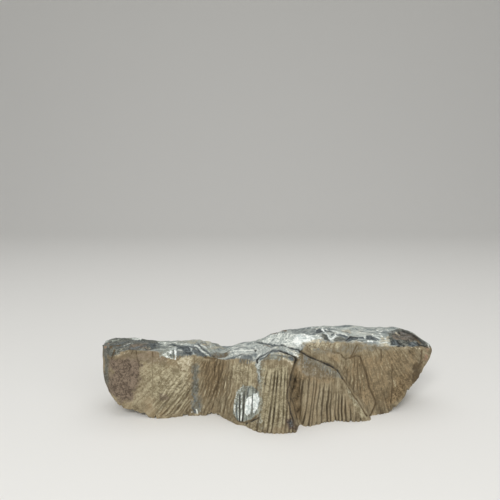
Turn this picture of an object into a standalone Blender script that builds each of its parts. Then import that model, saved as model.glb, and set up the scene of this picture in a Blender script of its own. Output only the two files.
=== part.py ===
"""A long, low viewing stone: a fluted cliff under a pale, ledged plateau.

The stone lies along X. The cliff faces -Y, the plateau faces +Z, and the stone rests on a flat foot at Z = 0.
It is one solid. A cube is divided into a grid, its six sides are laid on the stone's surfaces, the edges are
worn round, and the furrows, ledges and cracks are cut in. Sizes are in millimetres until the last step.
"""

import bmesh
import bpy
import numpy as np

# Overall sizes in millimetres
LEFT_END = -101.3
RIGHT_END = 99.2
HEIGHT = 46.0
METRE = 0.001

# How finely the stone is modelled
CELLS_ALONG = 480
CELLS_ACROSS = 26
CELLS_UP = 40
SAMPLES = 160
WEAR_ROUNDS = 2
TRIANGLES = 9200

# Plan of each mass of the cliff, at the foot and at the rim: (station along the stone, distance to the back)
LEFT_FOOT = [(-101.3, -2.5), (-98, -6.5), (-94, -11.5), (-82, -13), (-70, -15), (-62, -15), (-54, -12.5),
             (-46, -11), (-38, -10.8), (-28, -7), (-16, 0)]
LEFT_RIM = [(-101.3, -2.5), (-98, -6.5), (-94, -11), (-82, -12.5), (-70, -13.5), (-60, -12.5),
            (-52, -11.5), (-44, -12), (-36, -10.5), (-28, -7), (-16, 0)]
BUTTRESS_FOOT = [(-38, -5), (-33, -10.5), (-28, -15.5), (-21, -22), (-15.5, -23.5), (-11, -27), (-5, -29),
                 (0, -29)]
BUTTRESS_RIM = [(-38, -6), (-33, -10.5), (-28, -13), (-21, -15.5), (-14, -17), (-9, -16.5), (-4, -17),
                (0, -17)]
PROW_FOOT = [(-14, -20), (-11, -27), (-7, -30.5), (-3, -31.5), (5, -32), (11, -32), (16, -30)]
PROW_RIM = [(-14, -10), (-10, -15), (-7, -19.5), (-2, -23), (4, -24.5), (9, -23.5), (14, -20.5)]
LOBE_FOOT = [(6, -15), (12, -20), (16, -23), (20.5, -24.5), (26, -22.5), (31, -20), (38, -18), (45, -18.5),
             (52, -18.5), (58, -17), (64, -14)]
RIGHT_FOOT = [(-12, 2), (0, -5), (20, -9.5), (46, -12), (58, -12), (64, -11), (72, -8), (79, -6), (85, -3),
              (91, 1), (95.5, 4.5), (99.2, 7.5)]
RIGHT_RIM = [(-12, 4), (0, -1), (20, -3), (30, -4), (46, -5.5), (60, -5.5), (72, -4.5), (85, -1.5), (92, 2),
             (96, 5), (99.2, 7.5)]
BACK_PLAN = [(-101.3, 7), (-96.5, 12), (-85, 15), (-65, 16.5), (-45, 15), (-30, 14), (-18, 15.5),
             (-6, 19.5), (6, 24), (20, 26.5), (40, 27.5), (60, 27), (76, 25), (88, 21.5), (95, 18),
             (99.2, 14.5)]

# Heights along the stone, (station, height), of the foot, the rim, the plateau's middle and its back rim
FOOT_HEIGHT = [(-101.3, 27), (-100.4, 21.5), (-99, 18), (-96.5, 15.2), (-93.5, 12.3), (-91, 8.6), (-88, 5.6),
               (-82, 3.4), (-76, 1.6), (-68, -1.2), (-56, -1.4), (-48, -0.6), (-38, 0.2), (-30, -1),
               (-20, -1.8), (0, -2), (60, -2), (68, -1.8), (75, 3.2), (79, 7), (84, 12), (88, 15.2),
               (91, 17.3), (93.5, 20), (95.5, 25), (97.5, 28.5), (99.2, 32)]
RIM_HEIGHT = [(-101.3, 41), (-97, 42.4), (-93, 42.6), (-87, 42.4), (-78, 41.8), (-66, 41.2), (-59, 39),
              (-53, 37.8), (-45, 37.8), (-38, 37.8), (-34, 36.7), (-30, 36.2), (-25, 37), (-21, 38.4),
              (-17, 39.2), (-12, 38.5), (-8.5, 37), (-5.5, 40.3), (-2.5, 43), (0.5, 44.5), (4, 45),
              (7.5, 44.2), (10.5, 42.9), (13, 42), (16, 42), (20, 42.5), (26, 43), (32, 43.3), (41, 43.2),
              (47, 42.6), (59, 41.6), (68, 41), (77, 40.4), (88, 39.6), (94, 38.4), (97, 37.2), (99.2, 36)]
MIDDLE_HEIGHT = [(-101.3, 40.2), (-97, 41), (-90, 40.6), (-80, 40.2), (-70, 39.6), (-60, 39.6), (-48, 40),
                 (-42, 39.4), (-36, 37.2), (-28, 35.6), (-20, 37.9), (-10, 38.4), (-2, 40.2), (6, 42),
                 (18, 43.4), (40, 44.6), (60, 44.6), (80, 44.2), (90, 42.2), (96, 38.4), (99.2, 36)]
BACK_HEIGHT = [(-101.3, 39.8), (-97, 40.4), (-90, 39.8), (-80, 38.8), (-74, 38), (-62, 37.8), (-52, 38.4),
               (-46, 39), (-40, 38.2), (-34, 36.4), (-27, 34.6), (-22, 35.4), (-18, 36.2), (-12, 36.6),
               (-7, 37), (-3, 38.6), (1, 40.4), (10, 41.6), (20, 42.6), (36, 43.8), (48, 43.8), (64, 43.6),
               (74, 43.5), (81, 43.6), (90, 41.2), (95, 38.6), (99.2, 36)]

# The prow's right edge and the lobe's left edge, (height, station), and the lobe's crest, (station, height)
PROW_EDGE = [(0, 13), (3.7, 12.2), (6.7, 11.2), (11.5, 10.2), (16, 9.3), (19, 8.7), (23, 8.9), (28, 9.2),
             (32, 9.9), (37, 10.7), (41, 12.8), (46, 12.8)]
LOBE_EDGE = [(0, 17.8), (6, 17.4), (11, 16.5), (15, 16), (19.5, 15.4), (23.5, 15.2), (26.5, 14.3),
             (31, 12.6), (34, 12), (38, 10), (46, 6)]
LOBE_CREST = [(4, 44.5), (8.8, 43.4), (12.2, 42.1), (15.7, 41.4), (19.2, 40), (22.1, 38.8), (26.7, 36.6),
              (30.8, 34.5), (34.9, 31.5), (38.5, 29.3), (42.1, 24.4), (46.9, 19.2), (49.4, 14.9),
              (52.4, 11.1), (55.5, 6.7), (58.4, -0.2), (61, -5)]
LOBE_CREST_DEPTH = -14.5

# How the faces swell and fall away: powers of the height, and depth gained for each millimetre gone past
FACE_SWELL = 1.6
LOBE_SWELL = 2.6
LOWEST_CREST = 4.0
PAST_ENDS_SLOPE = 2.5
PROW_SIDE_SLOPE = 2.6
PROW_SIDE_EASING = 1.6
PROW_SIDE_EASES_AT = (32, 42)
LOBE_SHOULDER_SLOPE = 2.2
LOBE_SIDE_SLOPE = 0.9
BACK_LEAN = 3.5
BACK_UNDERCUT = 2.5
END_SWELL = 1.2

# The seam across the plateau, (station, distance to the back), where the right block steps up and eases off
SEAM = [(12, -16), (5, -12), (0, -5), (-4, 2), (-7, 9), (-10, 20)]
SEAM_STEP = 1.6
SEAM_RISE = 0.6
SEAM_EASES_OFF = (-6, 14)

# The layers whose ends make the plateau's ledges: thickness, slope along each axis and waviness
LEDGE = 1.5
LAYER_TILT = (0.03, -0.10)
LAYER_WAVES = 0.35
LAYER_WAVE_SIZE = (11, 7, 11)
LEDGE_FACE = (0.3, 0.7)

# Furrows: the point that they fan out from, (station, height), their pitch and their depth
FURROWS = {
    "left": ((-5, 105), 3.0, 0.60),
    "buttress": ((-8, 115), 3.0, 0.70),
    "prow": ((11, 123), 2.9, 1.30),
    "lobe": ((42, 190), 2.5, 1.20),
    "right": ((45, 75), 2.8, 0.80),
    "back": ((0, 160), 3.6, 0.80),
}
MASSES = ["left", "buttress", "prow", "lobe", "right"]
GROOVE_SHARPNESS = 2.5
WANDER = 0.55
WANDER_LENGTH = 16.0
FADE_LENGTH = 9.0

# Where the furrows of each mass begin and reach their full depth, in stations or heights
LEFT_FURROWS_FROM = (-78, -62)
LEFT_FURROWS_BELOW = (34, 16)
BUTTRESS_FURROWS_TO = (-20, -32)
PROW_FURROWS_BELOW = (40, 30)
LOBE_FURROWS_UNDER_CREST = (-6, -16)
LOBE_FURROWS_BELOW = (35, 24)
RIGHT_FURROWS_BELOW = (38, 28)

# Cracks in the cliff: (station, height) points, half width and depth
CRACKS = [
    ([(5.3, 45), (12.2, 42.1), (19.2, 40), (26.7, 36.6), (34.9, 31.5), (40.9, 26.6), (43, 23.5)], 1.6, 2.0),
    ([(46, 21), (49.4, 14.9), (52.4, 11.1), (55.5, 6.7), (58.4, 0)], 1.5, 1.0),
    ([(54, 34), (55.5, 28), (57.5, 23), (58.5, 16), (61.5, 11.5), (61.5, 6.5), (58.5, 1)], 2.6, 1.5),
    ([(38.5, 37.5), (41.5, 35.5), (44, 33.8), (47, 34.4), (49.8, 36.8), (51.5, 39.5)], 1.6, 1.0),
    ([(72.5, 28), (72.3, 18), (72, 5)], 1.8, 0.8),
    ([(-15, 1.5), (-12.4, 4), (-8, 6.5)], 1.5, 1.0),
]

# Uneven wear all over: size of the lumps along the three axes and their height
WEAR = [((13, 13, 17), 0.8), ((5, 5, 7), 0.4)]

# Surface directions, as parts of the normal, over which a relief goes from nothing to full strength
FACING = (0.35, 0.75)
FACING_FOR_CRACKS = (0.2, 0.5)
FACING_FOR_LEDGES = (0.8, 0.95)


def through(points, at):
    """Reads a smooth curve through (position, value) points, which stays level beyond its ends."""
    places, values = np.array(points, float).T
    slopes = np.gradient(values, places)
    left = np.clip(np.searchsorted(places, at) - 1, 0, len(places) - 2)
    width = places[left + 1] - places[left]
    t = np.clip((at - places[left]) / width, 0, 1)
    rise = values[left + 1] - values[left]
    start = slopes[left] * width
    end = slopes[left + 1] * width
    return values[left] + t * start + t * t * (3 * rise - 2 * start - end) + t**3 * (start + end - 2 * rise)


def ease(low, high, value):
    """Goes smoothly from 0 at low to 1 at high."""
    t = np.clip((value - low) / (high - low), 0, 1)
    return t * t * (3 - 2 * t)


def scatter(cell, seed):
    """A repeatable number from 0 to 1 for each whole-numbered cell."""
    mixed = np.sin(cell @ np.array([127.1, 311.7, 74.7]) + seed * 53.9) * 43758.5453
    return mixed - np.floor(mixed)


def lumps(points, size, seed):
    """Smooth noise from -1 to 1 with lumps of that size, which may differ along the three axes."""
    place = points / np.asarray(size, float)
    cell = np.floor(place)
    t = place - cell
    t = t * t * (3 - 2 * t)
    total = np.zeros(len(points))
    for corner in np.ndindex(2, 2, 2):
        weight = np.prod(np.where(corner, t, 1 - t), axis=1)
        total += weight * scatter(cell + corner, seed)
    return 2 * total - 1


def lean(foot, rim, x, z):
    """Depth of a face that goes from its foot's plan to its rim's plan and falls away past its ends."""
    share = np.clip(z / HEIGHT, 0, 1) ** FACE_SWELL
    past_ends = np.clip(foot[0][0] - x, 0, None) + np.clip(x - foot[-1][0], 0, None)
    return through(foot, x) * (1 - share) + through(rim, x) * share + PAST_ENDS_SLOPE * past_ends


def prow(x, z):
    """The buttress's front third, which ends in a sharp edge beside the cleft."""
    past_edge = np.clip(x - through(PROW_EDGE, z), 0, None)
    side = PROW_SIDE_SLOPE - PROW_SIDE_EASING * ease(*PROW_SIDE_EASES_AT, z)
    return lean(PROW_FOOT, PROW_RIM, x, z) + side * past_edge


def lobe(x, z):
    """The thin rounded layer that lies against the right block."""
    crest = through(LOBE_CREST, x)
    share = np.clip(z / np.maximum(crest, LOWEST_CREST), 0, 1) ** LOBE_SWELL
    depth = through(LOBE_FOOT, x) * (1 - share) + LOBE_CREST_DEPTH * share
    above = np.clip(z - crest, 0, None)
    beside = np.clip(through(LOBE_EDGE, z) - x, 0, None)
    return depth + LOBE_SHOULDER_SLOPE * above + LOBE_SIDE_SLOPE * beside


def faces_of_cliff(x, z):
    """The depth of each mass of the cliff, in the order of MASSES."""
    return np.stack([
        lean(LEFT_FOOT, LEFT_RIM, x, z),
        lean(BUTTRESS_FOOT, BUTTRESS_RIM, x, z),
        prow(x, z),
        lobe(x, z),
        lean(RIGHT_FOOT, RIGHT_RIM, x, z),
    ])


def cliff(x, z):
    """The cliff is the nearest of its masses."""
    return faces_of_cliff(x, z).min(axis=0)


def back_wall(x, z):
    """The back is plainer: it leans in towards its rim and draws in at the foot."""
    height = np.clip(z / HEIGHT, 0, 1)
    return through(BACK_PLAN, x) - BACK_LEAN * height**3 - BACK_UNDERCUT * (1 - height) ** 3


def evenly(path, count):
    """Spaces points evenly along each path: path has an array of points for each station."""
    steps = np.linalg.norm(np.diff(path, axis=1), axis=2)
    run = np.concatenate([np.zeros((len(path), 1)), np.cumsum(steps, axis=1)], axis=1)
    spaced = np.empty((len(path), count + 1, 3))
    for row, (points, length) in enumerate(zip(path, run)):
        wanted = np.linspace(0, length[-1], count + 1)
        for axis in range(3):
            spaced[row, :, axis] = np.interp(wanted, length, points[:, axis])
    return spaced


def wall(stations, surface, low, high):
    """One side of the stone, from its foot to its rim, as a grid of points."""
    share = np.linspace(0, 1, SAMPLES)
    x = np.repeat(stations[:, None], SAMPLES, axis=1)
    z = low[:, None] * (1 - share) + high[:, None] * share
    return evenly(np.stack([x, surface(x, z), z], axis=2), CELLS_UP)


def seam_step(x, y):
    """The step up to the right block, which dies away beyond the seam."""
    seam = through([(across, along) for along, across in SEAM], y)
    return SEAM_STEP * (ease(-SEAM_RISE, SEAM_RISE, x - seam) - ease(*SEAM_EASES_OFF, x - seam))


def plateau(front, back):
    """The top of the stone, from the cliff's rim to the back rim, as a grid of points."""
    share = np.linspace(0, 1, CELLS_ACROSS + 1)[None, :]
    x = np.repeat(front[:, None, 0], CELLS_ACROSS + 1, axis=1)
    y = front[:, None, 1] * (1 - share) + back[:, None, 1] * share
    middle = through(MIDDLE_HEIGHT, front[:, 0])[:, None]
    dome = middle - (front[:, None, 2] + back[:, None, 2]) / 2
    z = front[:, None, 2] * (1 - share) + back[:, None, 2] * share
    z = z + 4 * share * (1 - share) * (dome + seam_step(x, y))
    return np.stack([x, y, z], axis=2)


def underside(front, back):
    """The bottom of the stone between the feet of the cliff and of the back wall."""
    share = np.linspace(0, 1, CELLS_ACROSS + 1)[None, :, None]
    return front[:, None] * (1 - share) + back[:, None] * share


def end_patch(cliff_column, back_column, top_row, foot_row, swell):
    """An end of the stone, spanned between its four edges and swollen outwards in the middle."""
    v = np.linspace(0, 1, CELLS_ACROSS + 1)[:, None, None]
    w = np.linspace(0, 1, CELLS_UP + 1)[None, :, None]
    sides = cliff_column[None] * (1 - v) + back_column[None] * v
    caps = foot_row[:, None] * (1 - w) + top_row[:, None] * w
    corners = (
        cliff_column[0] * (1 - v) * (1 - w) + back_column[0] * v * (1 - w)
        + cliff_column[-1] * (1 - v) * w + back_column[-1] * v * w
    )
    patch = sides + caps - corners
    patch[..., 0] += (swell * 4 * v * (1 - v) * 4 * w * (1 - w))[..., 0]
    return patch


def divided_cube():
    """A cube with its edges along each axis cut into cells, and each vertex's place in that grid."""
    mesh = bmesh.new()
    bmesh.ops.create_cube(mesh, size=2)
    for axis, cells in enumerate((CELLS_ALONG, CELLS_ACROSS, CELLS_UP)):
        edges = [edge for edge in mesh.edges if abs(edge.verts[0].co[axis] - edge.verts[1].co[axis]) > 1]
        bmesh.ops.subdivide_edges(mesh, edges=edges, cuts=cells - 1, use_grid_fill=True)
    mesh.verts.ensure_lookup_table()
    place = np.array([vert.co for vert in mesh.verts])
    cells = np.array([CELLS_ALONG, CELLS_ACROSS, CELLS_UP])
    return mesh, np.rint((place + 1) / 2 * cells).astype(int)


def lay_on_stone(place):
    """The point of the stone's surface for each vertex of the divided cube."""
    stations = np.linspace(LEFT_END, RIGHT_END, CELLS_ALONG + 1)
    foot = through(FOOT_HEIGHT, stations)
    front = wall(stations, cliff, foot, through(RIM_HEIGHT, stations))
    back = wall(stations, back_wall, foot, through(BACK_HEIGHT, stations))
    top = plateau(front[:, -1], back[:, -1])
    base = underside(front[:, 0], back[:, 0])
    left = end_patch(front[0], back[0], top[0], base[0], -END_SWELL)
    right = end_patch(front[-1], back[-1], top[-1], base[-1], END_SWELL)
    i, j, k = place.T
    points = np.empty((len(place), 3))
    for here, surface in (
        (i == 0, lambda m: left[j[m], k[m]]),
        (i == CELLS_ALONG, lambda m: right[j[m], k[m]]),
        (k == 0, lambda m: base[i[m], j[m]]),
        (k == CELLS_UP, lambda m: top[i[m], j[m]]),
        (j == 0, lambda m: front[i[m], k[m]]),
        (j == CELLS_ACROSS, lambda m: back[i[m], k[m]]),
    ):
        points[here] = surface(here)
    return points


def fan(x, z, centre):
    """How far across and along the furrows a point lies, where they fan out from a centre above."""
    dx = x - centre[0]
    dz = centre[1] - z
    middle = centre[1] - HEIGHT / 2
    return middle * np.arctan2(dx, dz), np.hypot(dx, dz)


def furrows(x, z, kind, seed):
    """Depth of the furrows: narrow grooves between rounded ribs, no two alike."""
    centre, pitch, depth = FURROWS[kind]
    across, along = fan(x, z, centre)
    flat = np.stack([across, along, np.zeros_like(across)], axis=1)
    across = across + WANDER * pitch * lumps(flat, (2.6 * pitch, WANDER_LENGTH, 1), seed)
    rib = across / pitch
    number = np.floor(rib)
    groove = np.abs(2 * (rib - number) - 1) ** GROOVE_SHARPNESS
    cells = np.stack([number, np.zeros_like(number), np.zeros_like(number)], axis=1)
    uneven = 0.55 + 0.45 * scatter(cells, seed)
    fading = 0.75 + 0.35 * lumps(flat, (3 * pitch, FADE_LENGTH, 1), seed + 1)
    return depth * groove * uneven * fading


def furrow_strength(x, z, kind):
    """Where the furrows of each mass are deep, from 0 to 1."""
    if kind == "left":
        return 0.2 + 0.8 * ease(*LEFT_FURROWS_FROM, x) * ease(*LEFT_FURROWS_BELOW, z)
    if kind == "buttress":
        return 0.55 + 0.45 * ease(*BUTTRESS_FURROWS_TO, x)
    if kind == "prow":
        return ease(*PROW_FURROWS_BELOW, z)
    if kind == "lobe":
        under_crest = ease(*LOBE_FURROWS_UNDER_CREST, z - through(LOBE_CREST, x))
        return 0.15 + 0.85 * under_crest * ease(*LOBE_FURROWS_BELOW, z)
    return 0.5 + 0.5 * ease(*RIGHT_FURROWS_BELOW, z)


def ledges(points):
    """The plateau's low steps, where thin tilted layers of the stone end."""
    x, y, z = points.T
    level = (z + LAYER_TILT[0] * x + LAYER_TILT[1] * y) / LEDGE
    level = level + LAYER_WAVES * lumps(points, LAYER_WAVE_SIZE, 7)
    part = level - np.floor(level)
    return LEDGE * (ease(*LEDGE_FACE, part) - part)


def from_line(points, x, z):
    """Distance of each point from a line through (station, height) points."""
    near = np.full(len(x), np.inf)
    for (x0, z0), (x1, z1) in zip(points, points[1:]):
        dx = x1 - x0
        dz = z1 - z0
        share = np.clip(((x - x0) * dx + (z - z0) * dz) / (dx * dx + dz * dz), 0, 1)
        near = np.minimum(near, np.hypot(x - x0 - share * dx, z - z0 - share * dz))
    return near


def cracks(points, normals):
    """How far the cracks cut straight into the cliff at each point."""
    x, _, z = points.T
    cut = np.zeros(len(points))
    for line, half_width, depth in CRACKS:
        cut = np.maximum(cut, depth * (1 - ease(0, half_width, from_line(line, x, z))))
    return cut * ease(*FACING_FOR_CRACKS, -normals[:, 1])


def relief(points, normals):
    """How far each point is cut in along its normal by the furrows, the ledges and the wear."""
    x, _, z = points.T
    on_front = ease(*FACING, -normals[:, 1])
    nearest = faces_of_cliff(x, z).argmin(axis=0)
    cut = ease(*FACING, normals[:, 1]) * furrows(x, z, "back", 90)
    for number, kind in enumerate(MASSES):
        strength = furrow_strength(x, z, kind)
        cut += (nearest == number) * on_front * strength * furrows(x, z, kind, 10 * number)
    cut -= ease(*FACING_FOR_LEDGES, normals[:, 2]) * ledges(points)
    for seed, (size, height) in enumerate(WEAR, start=3):
        cut += height * lumps(points, size, seed)
    return cut


def carve(mesh):
    """Cuts the relief and the cracks, flattens the foot and centres the stone on its origin, in metres."""
    count = len(mesh.vertices)
    points = np.empty(count * 3)
    normals = np.empty(count * 3)
    mesh.vertices.foreach_get("co", points)
    mesh.vertex_normals.foreach_get("vector", normals)
    points = points.reshape(-1, 3)
    normals = normals.reshape(-1, 3)
    crack = cracks(points, normals)
    points = points - relief(points, normals)[:, None] * normals
    points[:, 1] += crack
    points[:, 2] = np.maximum(points[:, 2], 0)
    low = points.min(axis=0)
    high = points.max(axis=0)
    points -= [(low[0] + high[0]) / 2, (low[1] + high[1]) / 2, 0]
    mesh.vertices.foreach_set("co", (points * METRE).ravel())
    mesh.update()


def stone_material():
    """Weathered limestone: earth brown and dull."""
    material = bpy.data.materials.new("weathered_limestone")
    material.use_nodes = True
    shader = material.node_tree.nodes["Principled BSDF"]
    shader.inputs["Base Color"].default_value = (0.30, 0.24, 0.16, 1)
    shader.inputs["Roughness"].default_value = 0.75
    shader.inputs["Metallic"].default_value = 0
    return material


def build_stone(collection):
    """The whole stone as one object."""
    grid, place = divided_cube()
    for vert, point in zip(grid.verts, lay_on_stone(place)):
        vert.co = point
    for _ in range(WEAR_ROUNDS):
        bmesh.ops.smooth_vert(
            grid, verts=grid.verts, factor=0.5, use_axis_x=True, use_axis_y=True, use_axis_z=True
        )
    mesh = bpy.data.meshes.new("stone")
    grid.to_mesh(mesh)
    grid.free()
    carve(mesh)
    mesh.materials.append(stone_material())
    stone = bpy.data.objects.new("stone", mesh)
    collection.objects.link(stone)
    thin = stone.modifiers.new("fewer_faces", "DECIMATE")
    thin.ratio = TRIANGLES / (2 * len(mesh.polygons))


def main():
    """Clears the scene and builds the stone in a collection of its own."""
    for obj in list(bpy.data.objects):
        bpy.data.objects.remove(obj)
    collection = bpy.data.collections.new("suiseki")
    bpy.context.scene.collection.children.link(collection)
    build_stone(collection)


main()
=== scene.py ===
"""The looks of a long, low viewing stone: a fluted cliff under a pale, ledged plateau.

The stone is one piece. Its mesh has the form of the solid that it stands for, with the furrows, ledges,
cracks, pits and chips of the real one cut in, and its finish is weathered limestone: tan and earthy on the
cliff, chalky with slate-coloured seams on the plateau. Lengths are in millimetres until the last step.
"""

import logging
import math
from collections.abc import Callable, Iterable
from dataclasses import dataclass, field
from enum import Enum

import bmesh
import bpy
import numpy as np
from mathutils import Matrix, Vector


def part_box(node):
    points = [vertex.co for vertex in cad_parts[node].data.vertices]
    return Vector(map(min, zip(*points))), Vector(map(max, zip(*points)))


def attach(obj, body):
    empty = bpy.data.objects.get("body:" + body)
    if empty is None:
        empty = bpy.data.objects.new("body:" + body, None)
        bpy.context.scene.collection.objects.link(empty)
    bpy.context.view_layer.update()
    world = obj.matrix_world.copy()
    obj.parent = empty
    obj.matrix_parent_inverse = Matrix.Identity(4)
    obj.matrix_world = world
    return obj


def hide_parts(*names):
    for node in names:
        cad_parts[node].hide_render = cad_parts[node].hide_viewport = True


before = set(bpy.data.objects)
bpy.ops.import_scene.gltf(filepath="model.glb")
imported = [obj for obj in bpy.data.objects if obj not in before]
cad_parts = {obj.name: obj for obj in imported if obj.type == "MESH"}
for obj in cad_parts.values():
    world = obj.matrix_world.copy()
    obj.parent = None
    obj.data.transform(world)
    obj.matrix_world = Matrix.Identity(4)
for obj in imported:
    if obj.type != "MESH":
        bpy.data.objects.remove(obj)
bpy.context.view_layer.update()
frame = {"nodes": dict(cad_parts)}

logging.basicConfig(level=logging.INFO, format="%(message)s")
log = logging.getLogger("suiseki")

METRE = 0.001
TINY = 1e-9
SCATTER_DIRECTION = np.array([127.1, 311.7, 74.7])
SCATTER_SEED = 53.9
SCATTER_SCALE = 43758.5453

Points = list[tuple[float, float]]
Pair = tuple[np.ndarray, np.ndarray]
Surface = Callable[[np.ndarray, np.ndarray], np.ndarray]
Waves = tuple[tuple[tuple[float, float, float], float, int], ...]
Colour = tuple[float, float, float]
Linear = tuple[float, float, float, float]
Elements = bpy.types.bpy_prop_collection
Socket = bpy.types.NodeSocket


class Mass(Enum):
    """The masses of the stone that have furrows of their own."""

    LEFT = 0
    BUTTRESS = 1
    PROW = 2
    LOBE = 3
    RIGHT = 4
    BACK = 5


class Tint(Enum):
    """What the drawn marks lay on the stone, in the order in which the colours lie over one another.

    BARE isn't a colour: it takes away the plateau's finish and leaves the cliff's.
    """

    BARE = "bare"
    WARM = "warm"
    KHAKI = "khaki"
    ASH = "ash"
    UMBER = "umber"
    GREY = "grey"
    STRAW = "straw"
    CREAM = "cream"
    CHALK = "chalk"
    WHITE = "white"
    SLATE = "slate"
    SOIL = "soil"
    RUST = "rust"
    BLACK = "black"


def through(points: Points, at: np.ndarray) -> np.ndarray:
    """Reads a smooth curve through a list of points, which stays level beyond its ends.

    Args:
        points: The (position, value) points, in order of position.
        at: The positions to read.

    Returns:
        The curve's value at each position.
    """
    places, values = np.array(points, float).T
    slopes = np.gradient(values, places)
    left = np.clip(np.searchsorted(places, at) - 1, 0, len(places) - 2)
    width = places[left + 1] - places[left]
    t = np.clip((at - places[left]) / width, 0, 1)
    rise = values[left + 1] - values[left]
    start = slopes[left] * width
    end = slopes[left + 1] * width
    return values[left] + t * start + t * t * (3 * rise - 2 * start - end) + t**3 * (start + end - 2 * rise)


def ease(low: float, high: float, value: np.ndarray) -> np.ndarray:
    """Goes smoothly from 0 at low to 1 at high.

    Args:
        low: Where the rise begins.
        high: Where it ends.
        value: The values to read.

    Returns:
        A number from 0 to 1 for each value.
    """
    t = np.clip((value - low) / (high - low), 0, 1)
    return t * t * (3 - 2 * t)


def scatter(cell: np.ndarray, seed: int) -> np.ndarray:
    """A repeatable number from 0 to 1 for each whole-numbered cell.

    Args:
        cell: The cells, three numbers each.
        seed: Which pattern to give.

    Returns:
        One number for each cell.
    """
    mixed = np.sin(cell @ SCATTER_DIRECTION + seed * SCATTER_SEED) * SCATTER_SCALE
    return mixed - np.floor(mixed)


def lumps(points: np.ndarray, size: tuple[float, float, float], seed: int) -> np.ndarray:
    """Smooth noise from -1 to 1.

    Args:
        points: The places to read, three numbers each.
        size: How large the lumps are along the three axes.
        seed: Which pattern to give.

    Returns:
        The noise at each place.
    """
    place = points / np.asarray(size, float)
    cell = np.floor(place)
    t = place - cell
    t = t * t * (3 - 2 * t)
    total = np.zeros(len(points))
    for corner in np.ndindex(2, 2, 2):
        weight = np.prod(np.where(corner, t, 1 - t), axis=1)
        total += weight * scatter(cell + corner, seed)
    return 2 * total - 1


@dataclass(frozen=True)
class Fan:
    """The furrows of one mass, which fan out from a point above the stone.

    Attributes:
        centre: The point that they fan out from, (station, height).
        pitch: Their mean distance apart.
        depth: How deep the deepest are.
        seed: Which irregular pattern they have.
        stations: Where each furrow crosses the stone's middle height, if they are given.
        soil: How much soil lies in them.
    """

    centre: tuple[float, float]
    pitch: float
    depth: float
    seed: int
    stations: tuple[float, ...] = ()
    soil: float = 1.0

    MIDDLE = 23.0
    REACH = 130.0
    SPARE = 2.4
    UNEVEN = (0.55, 1.45)
    NARROW = 0.42
    SOIL_WIDTH = 0.55
    RIB_SHARPNESS = 2.4
    GROOVE_SHARE = 0.6
    RIB_SHARE = 0.4
    WANDER = 0.8
    WANDER_SIZE = (7.0, 15.0, 1.0)
    FINE_WANDER = 0.2
    FINE_WANDER_SIZE = (2.5, 4.0, 1.0)
    WEAKEST = 0.5
    FADING = (0.85, 0.4)
    FADE_SIZE = (5.0, 9.0, 1.0)
    STRONGEST = 1.2

    def place(self, x: np.ndarray, z: np.ndarray) -> tuple[np.ndarray, np.ndarray]:
        """How far across and along the furrows each point lies.

        Args:
            x: Stations along the stone.
            z: Heights.

        Returns:
            The distance across the furrows, as at the middle height, and the distance along them.
        """
        dx = x - self.centre[0]
        dz = self.centre[1] - z
        return (self.centre[1] - self.MIDDLE) * np.arctan2(dx, dz), np.hypot(dx, dz)

    def lines(self) -> np.ndarray:
        """Where the furrows lie across the fan.

        Returns:
            The places of the furrows, in order, given in part or at irregular distances.
        """
        random = np.random.default_rng(self.seed)
        steps = self.pitch * random.uniform(*self.UNEVEN, int(self.SPARE * self.REACH / self.pitch))
        generated = np.cumsum(steps) - self.REACH
        if not self.stations:
            return generated
        height = self.centre[1] - self.MIDDLE
        given = height * np.arctan2(np.array(self.stations) - self.centre[0], height)
        outside = (generated < given[0] - self.pitch / 2) | (generated > given[-1] + self.pitch / 2)
        return np.sort(np.concatenate([generated[outside], given]))

    def furrows(self, x: np.ndarray, z: np.ndarray) -> tuple[np.ndarray, np.ndarray]:
        """The furrows at each point: narrow grooves between rounded ribs, no two alike.

        Args:
            x: Stations along the stone.
            z: Heights.

        Returns:
            The depth of the cut, and how much soil lies in it from 0 to 1.
        """
        across, along = self.place(x, z)
        flat = np.stack([across, along, np.zeros_like(across)], axis=1)
        across = across + self.WANDER * lumps(flat, self.WANDER_SIZE, self.seed)
        across = across + self.FINE_WANDER * lumps(flat, self.FINE_WANDER_SIZE, self.seed + 5)
        lines = self.lines()
        right = np.clip(np.searchsorted(lines, across), 1, len(lines) - 1)
        width = lines[right] - lines[right - 1]
        t = np.clip((across - lines[right - 1]) / width, 0, 1)
        distance = np.minimum(t, 1 - t) * width
        nearest = np.where(t < 0.5, right - 1, right)
        number = np.stack([nearest, np.zeros_like(nearest), np.zeros_like(nearest)], axis=1)
        strength = self.WEAKEST + (1 - self.WEAKEST) * scatter(number, self.seed)
        mean, swing = self.FADING
        fading = np.clip(mean + swing * lumps(flat, self.FADE_SIZE, self.seed + 1), 0, self.STRONGEST)
        groove = np.exp(-((distance / self.NARROW) ** 2))
        rib = np.abs(2 * t - 1) ** self.RIB_SHARPNESS
        cut = self.depth * strength * fading * (self.GROOVE_SHARE * groove + self.RIB_SHARE * rib)
        soil = self.soil * strength * fading * np.exp(-((distance / self.SOIL_WIDTH) ** 2))
        return cut, np.clip(soil, 0, 1)


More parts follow.
